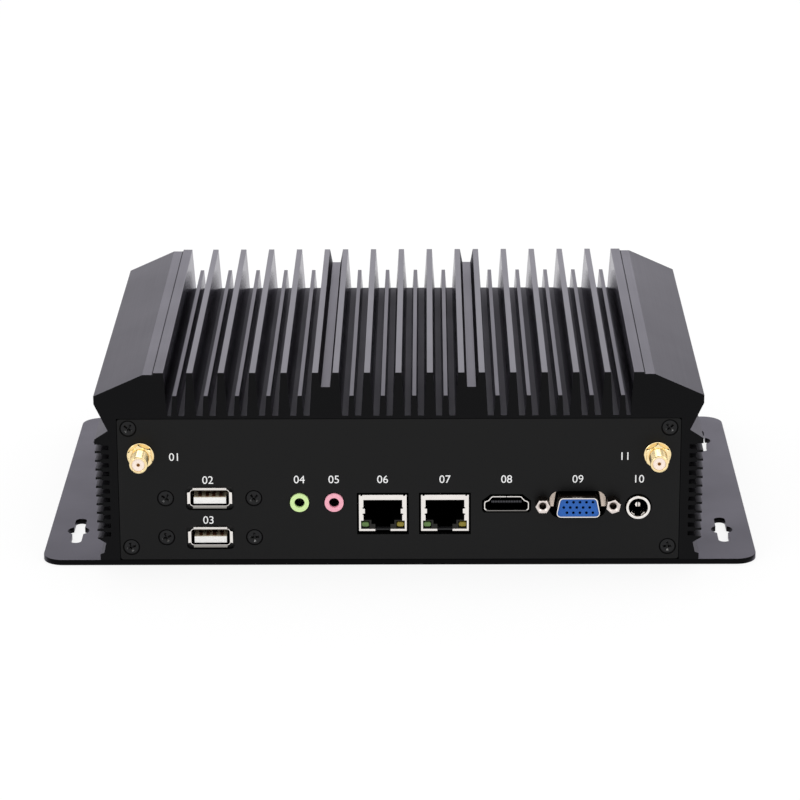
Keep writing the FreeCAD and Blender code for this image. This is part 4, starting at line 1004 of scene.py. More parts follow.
@dataclass
class Screws:
    """Countersunk screws with a cross recess, in every panel and under the plate."""

    bench: Bench
    head_radius: float = 2.6
    rim_height: float = 0.12
    # How far down and how far in the head's rim runs, in rim heights.
    rim_path: tuple[Point, ...] = ((1.6, 0.0), (0.5, 0.0), (0.1, 1.0), (0.0, 3.0))
    cone_height: float = 1.4
    shank_radius: float = 1.5
    shank_length: float = 6.0
    thread_depth: float = 0.2
    thread_pitch: float = 0.5
    thread_slices: int = 4
    cross_span: float = 3.4
    cross_width: float = 0.8
    cross_depth: float = 1.2
    cross_taper: float = 0.45
    sunk: float = 0.1
    # A thin near-black ring round each head, painted on the panel as the shade in the gap about it.
    shade_ring_radius: float = 3.05
    shade_ring_rise: float = 0.01
    shade_ring_gap: float = 0.05
    corner_margin: float = 2.8
    # How many degrees each screw is turned on from the one before, and a node's first one for
    # each letter of its name.
    driven: tuple[float, float] = (37.0, 11.0)

    def solid(self) -> Solid:
        """Makes one screw.

        Returns:
            The screw, its face at the origin and looking along +Z.
        """
        root, pitch = self.shank_radius - self.thread_depth, self.thread_pitch
        rings = [ring(-self.shank_length, root),
                 *thread(-self.shank_length + pitch, -self.cone_height - pitch, root,
                         self.shank_radius, pitch, self.thread_slices),
                 ring(-self.cone_height - self.sunk, root)]
        rings += [ring(-self.sunk - self.rim_height * down,
                       self.head_radius - self.rim_height * inward)
                  for down, inward in self.rim_path]
        made = Solid()
        rim = made.skin(rings, capped=(True, False))
        made.cross_recess(rim, self.cross_span, self.cross_width, self.cross_depth,
                          self.cross_taper)
        return made

    def build(self, node: str, facing: Facing, rows: int = 2) -> None:
        """Makes the screws of one node, each turned as it happened to be driven.

        Args:
            node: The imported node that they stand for.
            facing: The way that their heads look.
            rows: How many rows their grid of two columns has.
        """
        extent = Extent.of(node)
        step, start = self.driven
        placements = []
        for number, (across, along) in enumerate(self.corners(extent, facing, rows)):
            point = (across, extent.plane(facing), along)
            if facing is Facing.UNDER:
                point = (across, along, extent.low.z)
            turn = (number * step + len(node) * start) % 90.0
            placements.append(facing.at(point, turn))
        self.bench.piece(f"{node}_turned", self.solid(), placements, BLACK_SCREW, [node],
                         second=WORN_SCREW)
        # The ring of painted shade round each head.
        shade_ring = Solid().tube(self.shade_ring_radius, self.head_radius + self.shade_ring_gap, 0.0,
                            self.shade_ring_rise)
        self.bench.piece(f"{node}_sinks", shade_ring, placements, SHADED_EDGE)

    def corners(self, extent: Extent, facing: Facing, rows: int) -> list[Point]:
        """The places of screws that stand on a grid of two columns.

        Args:
            extent: The room that the screws take up.
            facing: The way that their heads look.
            rows: How many rows the grid has.

        Returns:
            The two coordinates of each screw.
        """
        axis = 1 if facing is Facing.UNDER else 2
        margin = self.corner_margin
        low, high = extent.low[axis] + margin, extent.high[axis] - margin
        return [(x, low + (high - low) * row / (rows - 1))
                for x in (extent.low.x + margin, extent.high.x - margin) for row in range(rows)]


# ------------------------------------------------------------------ front sockets

@dataclass
class UsbSocket:
    """A drawn shell with four flared lips, round a white tongue with four sprung contacts."""

    bench: Bench
    name: str
    width: float = 14.25
    height: float = 6.3
    lift: float = 0.12
    corner: float = 1.3
    wall: float = 0.22
    depth: float = 14.0
    # The mouth narrows to the plain shell between these depths.
    step_depths: tuple[float, float] = (1.2, 2.0)
    step_margin: float = 0.7
    step_corner: float = 0.4
    least_corner: float = 0.05
    # How far a face has to look inwards to count as an inner one.
    inward: float = 0.1
    # Each pair of lip sizes is for a lying lip and for an upright one.
    lip_lengths: tuple[float, float] = (12.0, 4.3)
    lip_reaches: tuple[float, float] = (0.68, 0.85)
    lip_foot: tuple[Point, ...] = ((0.0, -0.4), (0.04, -0.1))
    lip_rise: float = 0.35
    lip_share: float = 0.8
    fine_edge: float = 0.04
    tongue_width: float = 11.5
    tongue_thickness: float = 2.35
    tongue_drop: float = 1.2
    tongue_inset: float = 0.7
    tongue_length: float = 9.8
    contact_width: float = 1.2
    contact_thickness: float = 0.22
    contact_places: tuple[float, ...] = (-3.55, -0.95, 1.35, 3.95)
    # The arch of a contact over the top of the tongue.
    contact_path: tuple[Point, ...] = ((0.02, -8.2), (0.12, -5.6), (1.0, -3.6), (1.25, -3.0),
                                       (0.9, -2.4), (0.05, -1.6))

    def build(self) -> None:
        """Puts drawn pieces in the place of the plain ones, and adds the lips and the contacts."""
        shell, insert = f"usb_{self.name}_shell", f"usb_{self.name}_insert"
        middle, cavity = Extent.of(shell).centre, Extent.of(insert).size
        at = (middle.x, Extent.of("front_panel").low.y, middle.z + self.lift)
        here = [Facing.FRONT.at(at)]
        self.shell(shell, here, cavity)
        self.lips(at)
        self.tongue(insert, here, cavity)
        self.contacts(here)

    def shell(self, shell: str, here: list[Matrix], cavity: Vector) -> None:
        """Makes the drawn shell.

        Args:
            shell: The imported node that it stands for.
            here: The placement of the socket.
            cavity: The room inside the plain shell.
        """
        mouth = (self.width, self.height, self.corner)
        deep = (cavity.x + self.step_margin, cavity.z + self.step_margin, self.step_corner)
        first, last = self.step_depths
        stations = ((0.0, *mouth), (-first, *mouth), (-last, *deep), (-self.depth, *deep))
        rings = []
        for inset, side in ((0.0, stations), (self.wall, stations[::-1])):
            for level, width, height, corner in side:
                outline = rounded_outline(block(width - 2 * inset, height - 2 * inset),
                                          max(corner - inset, self.least_corner))
                rings.append(flat(outline, level))
        drawn = Solid()
        drawn.skin(rings, looped=True)
        # The inner faces take the dark nickel as painted shade.
        drawn.second(lambda middle, way: middle.x * way.x + middle.y * way.y < -self.inward)
        self.bench.piece(f"usb_{self.name}_drawn", drawn, here, NICKEL, [shell],
                         second=PAINTED_SHADE_NICKEL)

    def lips(self, at: Sequence[float]) -> None:
        """Adds the four lips round the mouth; the lower one takes a dimmer tin finish as painted
        shade.

        Args:
            at: The middle of the mouth.
        """
        for turn in (0.0, 90.0, -90.0, 180.0):
            upright = abs(turn) == 90.0
            half = (self.width if upright else self.height) / 2
            root = half - self.wall / 2
            path = [(root + out, level) for out, level in self.lip_foot]
            path.append((half + self.lip_reaches[upright], self.lip_rise))
            lip = Solid().sweep(path, self.lip_lengths[upright], self.wall * self.lip_share)
            self.bench.piece(f"usb_{self.name}_lip_{int(turn) % 360}", lip,
                             [Facing.FRONT.at(at, turn)], SHADED_LIP_TIN if turn == 180.0 else NICKEL,
                             edge=self.fine_edge)

    def tongue(self, insert: str, here: list[Matrix], cavity: Vector) -> None:
        """Makes the tongue on its plug.

        Args:
            insert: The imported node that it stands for.
            here: The placement of the socket.
            cavity: The room inside the plain shell.
        """
        back = -self.tongue_inset - self.tongue_length
        made = Solid().prism(block(cavity.x - PLAY, cavity.z - PLAY), -self.depth + PLAY, back)
        made.prism(block(self.tongue_width, self.tongue_thickness, 0.0, -self.tongue_drop), back,
                   -self.tongue_inset)
        made.second(lambda middle, way: way.y > FACING_SHARE or middle.z < back + OVERLAP)
        self.bench.piece(f"usb_{self.name}_tongue", made, here, WHITE_PLASTIC, [insert],
                         second=SHADED_PLASTIC)

    def contacts(self, here: list[Matrix]) -> None:
        """Adds the contacts that arch over the tongue.

        Args:
            here: The placement of the socket.
        """
        top = self.tongue_thickness / 2 - self.tongue_drop
        path = [(top + rise, level) for rise, level in self.contact_path]
        strips = Solid()
        for x in self.contact_places:
            strips.sweep(path, self.contact_width, self.contact_thickness, x)
        self.bench.piece(f"usb_{self.name}_contacts", strips, here, SHADED_CONTACT,
                         edge=self.fine_edge)


@dataclass
class AudioJack:
    """A coloured jack with a rounded nose and a sprung contact in its dark bore."""

    bench: Bench
    node: str
    finish: Finish
    nose_edge: float = 0.1
    # A black tube in the coloured bore, painted shade that keeps the bore dark.
    bore_shade_radii: tuple[float, float] = (1.84, 1.70)
    bore_shade_span: tuple[float, float] = (-11.5, -1.5)
    contact_path: tuple[Point, ...] = ((1.55, -10.0), (1.2, -7.5), (0.75, -6.0), (1.1, -4.6))
    contact_width: float = 0.9
    contact_thickness: float = 0.2
    contact_edge: float = 0.03

    def build(self) -> None:
        """Dresses the jack, and adds the black tube of painted shade and the contact in its bore.
        """
        self.bench.dress(self.finish, self.node, edge=self.nose_edge)
        here = [Extent.of(self.node).on(Facing.FRONT)]
        bore_shade = Solid().tube(*self.bore_shade_radii, *self.bore_shade_span)
        self.bench.piece(f"{self.node}_liner", bore_shade, here, BLACK_PLASTIC)
        contact = Solid().sweep(self.contact_path, self.contact_width, self.contact_thickness)
        self.bench.piece(f"{self.node}_contact", contact, here, CONTACT, edge=self.contact_edge)


@dataclass
class NetworkSocket:
    """A shielded socket with folds in its shell."""

    bench: Bench
    name: str
    shell_edge: float = 0.08
    insert_edge: float = 0.06
    fold_nick: tuple[float, float] = (0.7, 0.45)
    fold_inset: tuple[float, float] = (0.9, 0.12)
    tab_nick: tuple[float, float] = (0.45, 0.42)
    tab_inset: float = 1.5
    tab_middle: float = 0.7
    tab_gap: float = 1.2
    nick_span: tuple[float, float] = (-0.3, 0.02)
    latch_width: float = 5.4
    latch_floor: float = 0.5
    latch_span: tuple[float, float] = (-2.5, -0.35)

    def build(self) -> None:
        """Dresses the shell and the insert, and adds the nicks and the floor under the latch."""
        shell = f"network_{self.name}_shell"
        self.bench.dress(DEEP_NICKEL, shell, edge=self.shell_edge)
        self.bench.dress(GREY_PLASTIC, f"network_{self.name}_insert", edge=self.insert_edge)
        extent = Extent.of(shell)
        half, rise = extent.size.x / 2, extent.size.z / 2
        nicks = Solid()
        for side in (-1, 1):
            nicks.prism(block(*self.fold_nick, side * (half - self.fold_inset[0]),
                              rise - self.fold_inset[1]), *self.nick_span)
            for way in (-1, 1):
                nicks.prism(block(*self.tab_nick, side * (half - self.tab_inset),
                                  self.tab_middle + way * self.tab_gap), *self.nick_span)
        here = [extent.on(Facing.FRONT)]
        self.bench.piece(f"network_{self.name}_nicks", nicks, here, MATT_PLASTIC)
        floor = Solid().prism(block(self.latch_width - PLAY, self.latch_floor, 0.0,
                                    -rise + self.latch_floor), *self.latch_span)
        self.bench.piece(f"network_{self.name}_latch_floor", floor, here, BLACK_PLASTIC)


@dataclass
class NetworkLights:
    """The small domed lenses in the lower corners of the network sockets."""

    bench: Bench
    node: str
    finish: Finish
    width: float = 2.9
    height: float = 1.75
    corner: float = 0.8
    depth: float = 6.0
    dome: float = 0.35
    # How large the flat top of the dome is where its foot is 1, and how high each ring of it lies.
    crown: float = 0.45
    shares: tuple[float, ...] = (0.0, 0.45, 0.75, 0.93, 1.0)
    plain_width: float = 3.0

    def build(self) -> None:
        """Puts a rounded lens in the place of each plain light."""
        extent = Extent.of(self.node)
        outline = rounded_outline(block(self.width, self.height), self.corner)
        rings = [flat(outline, -self.depth)]
        for share in self.shares:
            scale = math.sqrt(1 - share ** 2) * (1 - self.crown) + self.crown
            rings.append(flat([(x * scale, y * scale) for x, y in outline], self.dome * share))
        lens = Solid()
        lens.skin(rings)
        placements = [Facing.FRONT.at((x, extent.low.y, extent.centre.z))
                      for x in (extent.low.x + self.plain_width / 2,
                                extent.high.x - self.plain_width / 2)]
        self.bench.piece(f"{self.node}_domed", lens, placements, self.finish, [self.node])


@dataclass
class DigitalVideoSocket:
    """A folded shell round a black tongue that carries a comb of fine contacts."""

    bench: Bench
    half_width: float = 7.95
    half_height: float = 2.8
    half_top: float = 5.2
    half_kink: float = 6.45
    kink: float = 1.5
    shoulder: float = 2.0
    chin: float = 0.7
    corner: float = 0.9
    corner_steps: int = 4
    sheet: float = 0.34
    shell_edge: float = 0.06
    tongue_edge: float = 0.1
    # How far the corners move on the way in, for each millimetre of inset.
    shoulder_mitre: float = 0.28
    kink_mitre: Point = (0.59, 0.14)
    top_mitre: float = 0.47
    corner_mitre: float = 0.4
    # The heights of the shell's middle and of its seam over its underside.
    middle: float = 2.85
    seam: float = 5.5
    seam_size: tuple[float, float] = (0.22, 0.34)
    seam_span: tuple[float, float] = (-0.4, 0.02)
    contact_count: int = 19
    contact_size: tuple[float, float] = (0.3, 0.7)
    contact_pitch: float = 0.57
    contact_lift: float = 0.28
    contact_span: tuple[float, float] = (-0.2, 0.03)

    def outline(self, inset: float) -> list[Point]:
        """The shell's outline, with the fold in each shoulder.

        Args:
            inset: How far the outline is drawn in.

        Returns:
            The points of the outline.
        """
        half, rise = self.half_width - inset, self.half_height - inset
        right = [(half - self.chin, -rise), (half, self.chin - rise),
                 (half, rise - self.shoulder + inset * self.shoulder_mitre),
                 (self.half_kink - inset * self.kink_mitre[0],
                  rise - self.kink + inset * self.kink_mitre[1]),
                 (self.half_top - inset * self.top_mitre, rise)]
        return rounded_outline([*right, *[(-x, y) for x, y in right[::-1]]],
                               self.corner - inset * self.corner_mitre, self.corner_steps)

    def build(self) -> None:
        """Puts a folded shell in the place of the plain one, and dresses the tongue."""
        self.bench.dress(MATT_PLASTIC, "digital_video_insert", edge=self.tongue_edge)
        shell, insert = Extent.of("digital_video_shell"), Extent.of("digital_video_insert")
        x, low = shell.centre.x, shell.low.z
        folded = Solid().frame(self.outline(0.0), self.outline(self.sheet), -shell.size.y, 0.0)
        self.bench.piece("digital_video_folded", folded,
                         [Facing.FRONT.at((x, shell.low.y, low + self.middle))], DIGITAL_NICKEL,
                         ["digital_video_shell"], edge=self.shell_edge)
        contacts = Solid()
        for number in range(self.contact_count):
            aside = (number - (self.contact_count - 1) / 2) * self.contact_pitch
            contacts.prism(block(*self.contact_size, aside, self.contact_lift),
                           *self.contact_span)
        self.bench.piece("digital_video_contacts", contacts,
                         [Facing.FRONT.at((x, insert.low.y, low + self.middle))], FAINT_TIN)
        seam = Solid().prism(block(*self.seam_size), *self.seam_span)
        self.bench.piece("digital_video_seam", seam,
                         [Facing.FRONT.at((x, shell.low.y, low + self.seam))], MATT_PLASTIC)


@dataclass
class DeeSocket:
    """A D-shaped socket: a drawn shell with a bright rolled lip, on a dull flange."""

    bench: Bench
    node: str
    facing: Facing
    width: float
    tall: float
    slope: float
    wide_side: int
    proud: float
    corner: float = 1.6
    sheet: float = 0.4
    # How far behind the panel's face the shell springs from its flange.
    root: float = 2.0
    flare: float = 0.9
    flange: float = 0.8
    flange_corner: float = 2.2
    steps: int = 5

    def outline(self, inset: float) -> list[Point]:
        """The shell's outline, drawn in by an inset."""
        return dee(self.width - 2 * inset, self.tall - 2 * inset, self.slope, self.corner - inset,
                   self.wide_side)

    def build(self) -> None:
        """Puts a shell with a rolled lip, on its flange, in the place of the plain one."""
        extent = Extent.of(self.node)
        here = [extent.on(self.facing)]
        root, half = -self.proud - self.root, self.sheet / 2
        rings = [flat(self.outline(0.0), root - OVERLAP)]
        rings += [flat(self.outline(-self.flare * (1 - math.sin(angle))),
                       root + self.flare * (1 - math.cos(angle)))
                  for angle in angles(math.pi / 2, self.steps)]
        rings += [flat(self.outline(half - half * math.cos(angle)), -half + half * math.sin(angle))
                  for angle in angles(math.pi, self.steps)]
        rings.append(flat(self.outline(self.sheet), root - OVERLAP))
        shell = Solid()
        shell.skin(rings, looped=True)
        self.bench.piece(f"{self.node}_drawn", shell, here, DRAWN_NICKEL)
        border = rounded_outline(block(extent.size.x, extent.size.z), self.flange_corner)
        window = dee(self.width - PLAY, self.tall - PLAY, self.slope, self.corner, self.wide_side)
        flange = Solid().frame(border, window, root - self.flange, root)
        self.bench.piece(f"{self.node}_flange", flange, here, FLANGE, [self.node])


@dataclass
class PinHoles:
    """The flared mouths of the fifteen holes of the analogue video socket, painted black as shade.
    """

    bench: Bench
    pitch: float = 2.29
    row_pitch: float = 1.98
    mouth: tuple[Point, ...] = ((0.3, -0.3), (0.57, 0.0), (0.57, 0.02), (0.3, -0.28))
    steps: int = 16

    def build(self) -> None:
        """Lays a mouth painted black as shade over each hole. The middle row stands half a pitch
        aside.
        """
        extent = Extent.of("analogue_video_insert")
        x, z = extent.centre.x, Extent.of("analogue_video_shell").centre.z
        places = []
        for row in (-1, 0, 1):
            shift = self.pitch / (4 if row else -4)
            places += [Facing.FRONT.at((x + shift + column * self.pitch, extent.low.y,
                                        z + row * self.row_pitch)) for column in range(-2, 3)]
        mouth = Solid().lathe(self.mouth, looped=True, steps=self.steps)
        self.bench.piece("analogue_video_mouth_shade", mouth, places, MATT_PLASTIC)


@dataclass
class HexPosts:
    """Threaded hex posts on both sides of D-shaped sockets."""

    bench: Bench
    node: str
    facing: Facing
    shells: Sequence[str]
    # Half of the distance between the two posts of a socket.
    reach: float = 12.495
    across_flats: float = 4.6
    head_length: float = 5.0
    stud_radius: float = 1.4
    stud_length: float = 3.0
    chamfer_slope: float = 0.6
    chamfer_inset: float = 0.05
    chamfer_shares: tuple[float, ...] = (0.66, 0.33, 0.0)
    mouth_radius: float = 1.8
    thread_radius: float = 1.35
    thread_depth: float = 0.2
    thread_pitch: float = 0.64
    thread_end: float = -3.6
    thread_slices: int = 5
    # The faces within this much of the thread, and the ones further down that look up, are painted
    # dark as shade.
    bore_margin: float = 0.05
    bore_depth: float = 0.7
    bore_facing: float = 0.4
    steps: int = 60
    # How far every second post is turned on, in degrees.
    turn: float = 18.0

    def solid(self) -> Solid:
        """Makes one post.

        Returns:
            The post, its face at the origin.
        """
        steps, radius = self.steps, self.across_flats / 2
        corner = self.across_flats / math.sqrt(3)
        chamfer = (corner - radius) * self.chamfer_slope
        full = hexagonal(self.across_flats)
        rings = [ring(-self.head_length - self.stud_length, self.stud_radius, steps),
                 ring(-self.head_length, self.stud_radius, steps),
                 ring(-self.head_length, full, steps), ring(-chamfer, full, steps)]
        for share in self.chamfer_shares:
            limit = radius - self.chamfer_inset + (corner - radius) * share
            rings.append(ring(-chamfer * share, hexagonal(self.across_flats, limit), steps))
        rings.append(ring(0.0, self.mouth_radius, steps))
        rings += thread(-(self.mouth_radius - self.thread_radius), self.thread_end,
                        self.thread_radius, self.thread_radius - self.thread_depth,
                        self.thread_pitch, self.thread_slices, steps)
        made = Solid()
        made.skin(rings)
        reach = self.thread_radius + self.bore_margin
        return made.second(lambda middle, way: middle.xy.length < reach
                           or way.y > self.bore_facing and middle.z < -self.bore_depth)

    def build(self) -> None:
        """Puts the posts in the place of the plain ones."""
        extent = Extent.of(self.node)
        xs = [Extent.of(shell).centre.x + side * self.reach
              for shell in self.shells for side in (-1, 1)]
        placements = [self.facing.at((x, extent.plane(self.facing), extent.centre.z),
                                     self.turn * (number % 2)) for number, x in enumerate(xs)]
        self.bench.piece(f"{self.node}_threaded", self.solid(), placements, WARM_NICKEL,
                         [self.node], second=SHADED_BORE_NICKEL)


@dataclass
class PowerInlet:
    """A round inlet with a rounded lip, a split pin and two contact leaves."""

    bench: Bench
    outer: float = 4.35
    inner: float = 3.35
    lip: float = 0.35
    lip_steps: int = 5
    pin_radius: float = 1.0
    pin_drop: float = 1.3
    pin_steps: int = 13
    # Where each half of the pin starts and how far it sweeps, in degrees, and the gap between them.
    pin_arc: tuple[float, float] = (10, 160)
    slit: float = 0.14
    # The nose of the pin: shares of its width and of its thickness, and heights.
    nose: tuple[tuple[float, float, float], ...] = ((1.0, 1.0, -0.5), (0.9, 0.93, -0.15),
                                                    (0.6, 0.7, 0.0))
    leaf_path: tuple[Point, ...] = ((-3.2, -8.0), (-3.0, -5.0), (-2.6, -3.2), (-3.05, -0.9))
    leaf_width: float = 1.5
    leaf_thickness: float = 0.25
    leaf_turns: tuple[float, float] = (-38.0, 34.0)
    leaf_edge: float = 0.05

    def build(self) -> None:
        """Replaces the sleeve and the pin, and adds the leaves."""
        self.ring()
        self.bench.dress(MATT_PLASTIC, "power_inlet_body")
        self.pin()
        leaves = Solid().sweep(self.leaf_path, self.leaf_width, self.leaf_thickness)
        sleeve = Extent.of("power_inlet_sleeve")
        placements = [sleeve.on(Facing.FRONT, turn) for turn in self.leaf_turns]
        self.bench.piece("power_inlet_leaves", leaves, placements, NICKEL, edge=self.leaf_edge)

    def ring(self) -> None:
        """Turns the sleeve with its rounded lip."""
        sleeve = Extent.of("power_inlet_sleeve")
        outer, inner, lip, deep = self.outer, self.inner, self.lip, -sleeve.size.y
        quarter = [(math.sin(angle), math.cos(angle))
                   for angle in angles(math.pi / 2, self.lip_steps)]
        profile = [(outer, deep),
                   *[(outer - lip * (1 - cos), -lip * (1 - sin)) for sin, cos in quarter],
                   *[(inner + lip * (1 - sin), -lip * (1 - cos)) for sin, cos in quarter],
                   (inner, deep)]
        self.bench.piece("power_inlet_ring", Solid().lathe(profile, looped=True),
                         [sleeve.on(Facing.FRONT)], NICKEL, ["power_inlet_sleeve"])

    def pin(self) -> None:
        """Makes the two halves of the pin."""
        plain = Extent.of("power_inlet_pin")
        start, sweep = self.pin_arc
        radius, gap, last = self.pin_radius, self.slit / 2, self.pin_steps - 1
        arc = [math.radians(start + sweep * step / last) for step in range(self.pin_steps)]
        halves = Solid()
        for side in (-1, 1):
            outline = [(radius * math.cos(angle), side * (gap + (radius - gap) * math.sin(angle)))
                       for angle in arc][::side]
            halves.skin([flat(outline, self.pin_drop - plain.size.y),
                         *[flat([(x * wide, y * thick) for x, y in outline], level)
                           for wide, thick, level in self.nose]])
        at = (plain.centre.x, plain.low.y + self.pin_drop, plain.centre.z)
        self.bench.piece("power_inlet_split_pin", halves, [Facing.FRONT.at(at, 90.0)], NICKEL,
                         ["power_inlet_pin"])


@dataclass
class AerialSocket:
    """A gold coaxial socket with a threaded barrel."""

    bench: Bench
    number: int
    crest_radius: float = 3.175
    root_radius: float = 2.86
    pitch: float = 0.9
    slices: int = 8
    thread_span: tuple[float, float] = (-12.4, -0.55)
    # The radius and the height over the back end, up to the thread.
    body: tuple[Point, ...] = ((2.0, 0.0), (2.0, 5.0), (4.5, 5.0), (4.5, 8.0), (2.86, 8.0))
    # The radius and the height over the face, from the thread down into the bore.
    mouth: tuple[Point, ...] = ((2.88, -0.5), (2.86, -0.12), (2.74, 0.0), (2.45, 0.0),
                                (2.35, -0.1), (2.35, -4.0))

    def build(self) -> None:
        """Replaces the barrel of one socket."""
        node = f"aerial_{self.number}_socket"
        extent = Extent.of(node)
        back = -extent.size.y
        barrel = Solid()
        barrel.skin([*[ring(back + rise, radius) for radius, rise in self.body],
                     *thread(*self.thread_span, self.root_radius, self.crest_radius, self.pitch,
                             self.slices),
                     *[ring(level, radius) for radius, level in self.mouth]])
        self.bench.piece(f"aerial_{self.number}_barrel", barrel, [extent.on(Facing.FRONT)], GOLD,
                         [node])


@dataclass
class AerialFittings:
    """The nuts, washers, insulators and contacts of both aerial sockets."""

    bench: Bench
    nut_turns: tuple[float, float] = (38.0, 30.0)
    nut_flats: float = 8.0
    nut_bore: float = 3.0
    nut_countersink: float = 0.3
    nut_steps: int = 72
    chamfer_slope: float = 0.58
    # How far within the flats the chamfer begins, and how far out it runs from there.
    chamfer_inset: float = 0.06
    chamfer_reach: float = 0.1
    chamfer_shares: tuple[float, ...] = (0.0, 0.35, 0.7, 1.0)
    washer_rim: float = 0.15
    washer_bore: float = 3.3
    washer_steps: int = 64
    # Radii and heights of the faces of the insulator and of the contact.
    core_face: tuple[Point, ...] = ((2.33, -0.1), (2.2, 0.0), (1.05, 0.0), (0.95, -0.12),
                                    (0.66, -0.12))
    contact_face: tuple[Point, ...] = ((0.65, -0.2), (0.55, -0.05), (0.45, -0.05), (0.45, -2.2),
                                       (0.02, -2.3))

    def build(self) -> None:
        """Replaces the four nodes that the two sockets share."""
        self.fit("nuts", "chamfered", self.nut(Extent.of("aerial_nuts").size.y), GOLD,
                 self.nut_turns)
        self.fit("washers", "rounded", self.washer(Extent.of("aerial_washers").size), GOLD)
        deep = -Extent.of("aerial_insulators").size.y
        (outer, _), *_, (inner, _) = self.core_face
        core = Solid().lathe([(outer, deep), *self.core_face, (inner, deep)], looped=True)
        self.fit("insulators", "faced", core, CREAM_PLASTIC)
        contact = Solid().lathe([(self.contact_face[0][0], deep), *self.contact_face])
        self.fit("contacts", "bored", contact, CONTACT, plane="insulators")

    def fit(self, kind: str, made: str, solid: Solid, finish: Finish,
            turns: Sequence[float] = (0.0, 0.0), plane: str = "") -> None:
        """Puts a solid on both sockets, in the place of a node.

        Args:
            kind: What the node holds.
            made: How the piece is made, for its name.
            solid: The solid.
            finish: Its finish.
            turns: How far it is turned on each socket, in degrees.
            plane: What the node holds whose face it is flush with, if not its own.
        """
        front = Extent.of(f"aerial_{plane or kind}").low.y
        middles = [Extent.of(f"aerial_{number}_socket").centre for number in (1, 2)]
        placements = [Facing.FRONT.at((middle.x, front, middles[0].z), turn)
                      for middle, turn in zip(middles, turns)]
        self.bench.piece(f"aerial_{kind}_{made}", solid, placements, finish, [f"aerial_{kind}"])

    def nut(self, thick: float) -> Solid:
        """Makes a hexagonal nut with chamfered corners.

        Args:
            thick: Its thickness.

        Returns:
            The nut, its face at the origin.
        """
        flats, bore, steps = self.nut_flats, self.nut_bore, self.nut_steps
        spare = flats / math.sqrt(3) - flats / 2
        chamfer = spare * self.chamfer_slope

        def outline(level: float, share: float) -> list[Vector]:
            """The outline at a share of the chamfer's reach."""
            limit = flats / 2 - self.chamfer_inset + (spare + self.chamfer_reach) * share
            return ring(level, hexagonal(flats, limit), steps)

        rings = [outline(-chamfer * share, share) for share in self.chamfer_shares]
        rings += [outline(-thick + chamfer * share, share) for share in self.chamfer_shares[::-1]]
        rings += [ring(level, radius, steps)
                  for radius, level in ((bore + self.nut_countersink, -thick), (bore, -thick),
                                        (bore, -self.nut_countersink),
                                        (bore + self.nut_countersink, 0.0))]
        made = Solid()
        made.skin(rings, looped=True)
        return made

    def washer(self, size: Vector) -> Solid:
        """Makes a flat washer with a rounded rim.

        Args:
            size: The sides of the washers' node, which are all that varies.

        Returns:
            The washer, its face at the origin.
        """
        radius, thick, rim = size.z / 2, size.y, self.washer_rim
        return Solid().lathe([(radius - rim, -thick), (radius, -thick + rim), (radius, -rim),
                              (radius - rim, 0.0), (self.washer_bore, 0.0),
                              (self.washer_bore, -thick)], looped=True, steps=self.washer_steps)


# ------------------------------------------------------------------ rear

@dataclass
class SerialSocket:
    """A nine-pin socket on the rear panel, with gold pins."""

    bench: Bench
    name: str
    pin_radius: float = 0.52
    pin_pitch: float = 2.77
    row_pitch: float = 2.84
    pin_length: float = 4.85
    # The tip of a pin: shares of its radius, and heights over its length.
    pin_tip: tuple[Point, ...] = ((1.0, -0.5), (0.85, -0.2), (0.5, 0.0), (0.1, 0.03))
    pin_steps: int = 20
    floor_depth: float = 5.6

    def build(self) -> None:
        """Dresses the insert, replaces the shell and covers the pins with gold ones."""
        node = f"serial_{self.name}_shell"
        DeeSocket(self.bench, node, Facing.REAR, width=16.9, tall=8.3, slope=1.4, wide_side=1,
                  proud=5.8).build()
        self.bench.dress(BLACK_PLASTIC, f"serial_{self.name}_insert")
        extent = Extent.of(node)
        x, z = extent.centre.x, extent.centre.z
        placements = [Facing.REAR.at((x + (number - (count - 1) / 2) * self.pin_pitch,
                                      extent.high.y - self.floor_depth,
                                      z + row * self.row_pitch / 2))
                      for row, count in ((-1, 4), (1, 5)) for number in range(count)]
        profile = [(self.pin_radius, 0.0), *[(self.pin_radius * share, self.pin_length + rise)
                                             for share, rise in self.pin_tip]]
        self.bench.piece(f"serial_{self.name}_pins", Solid().lathe(profile, steps=self.pin_steps),
                         placements, GOLD)


@dataclass
class PowerButton:
    """A turned steel button with a dished cap, in a bezel with a bevelled rim."""

    bench: Bench
    bezel_edge: float = 0.3
    stem_radius: float = 1.5
    # The radius and the height of each turn of the cap, from its collar to the edge of its dish.
    cap: tuple[Point, ...] = ((1.5, -6.0), (5.1, -6.0), (5.1, -4.8), (4.5, -4.8), (4.5, -0.35),
                              (4.4, -0.12), (4.15, 0.0), (3.9, -0.02))
    dish: float = 0.35
    dish_steps: int = 8
    steps: int = 72

    def build(self) -> None:
        """Dresses the fixed pieces and replaces the cap."""
        self.bench.dress(NICKEL, "power_button_barrel", edge=self.bezel_edge)
        self.bench.dress(STEEL, "power_button_nut")
        self.bench.dress(BLACK_PLASTIC, "power_button_switch")
        extent = Extent.of("power_button_cap")
        profile = [(self.stem_radius, -extent.size.y), *self.cap]
        reach, brim = self.cap[-1]
        for step in range(1, self.dish_steps + 1):
            share = step / self.dish_steps
            profile.append((reach * (1 - share) + PLAY,
                            brim - self.dish * math.sin(share * math.pi / 2)))
        self.bench.piece("power_button_dished_cap", Solid().lathe(profile, steps=self.steps),
                         [extent.on(Facing.REAR)], NICKEL, ["power_button_cap"], body=BUTTON)


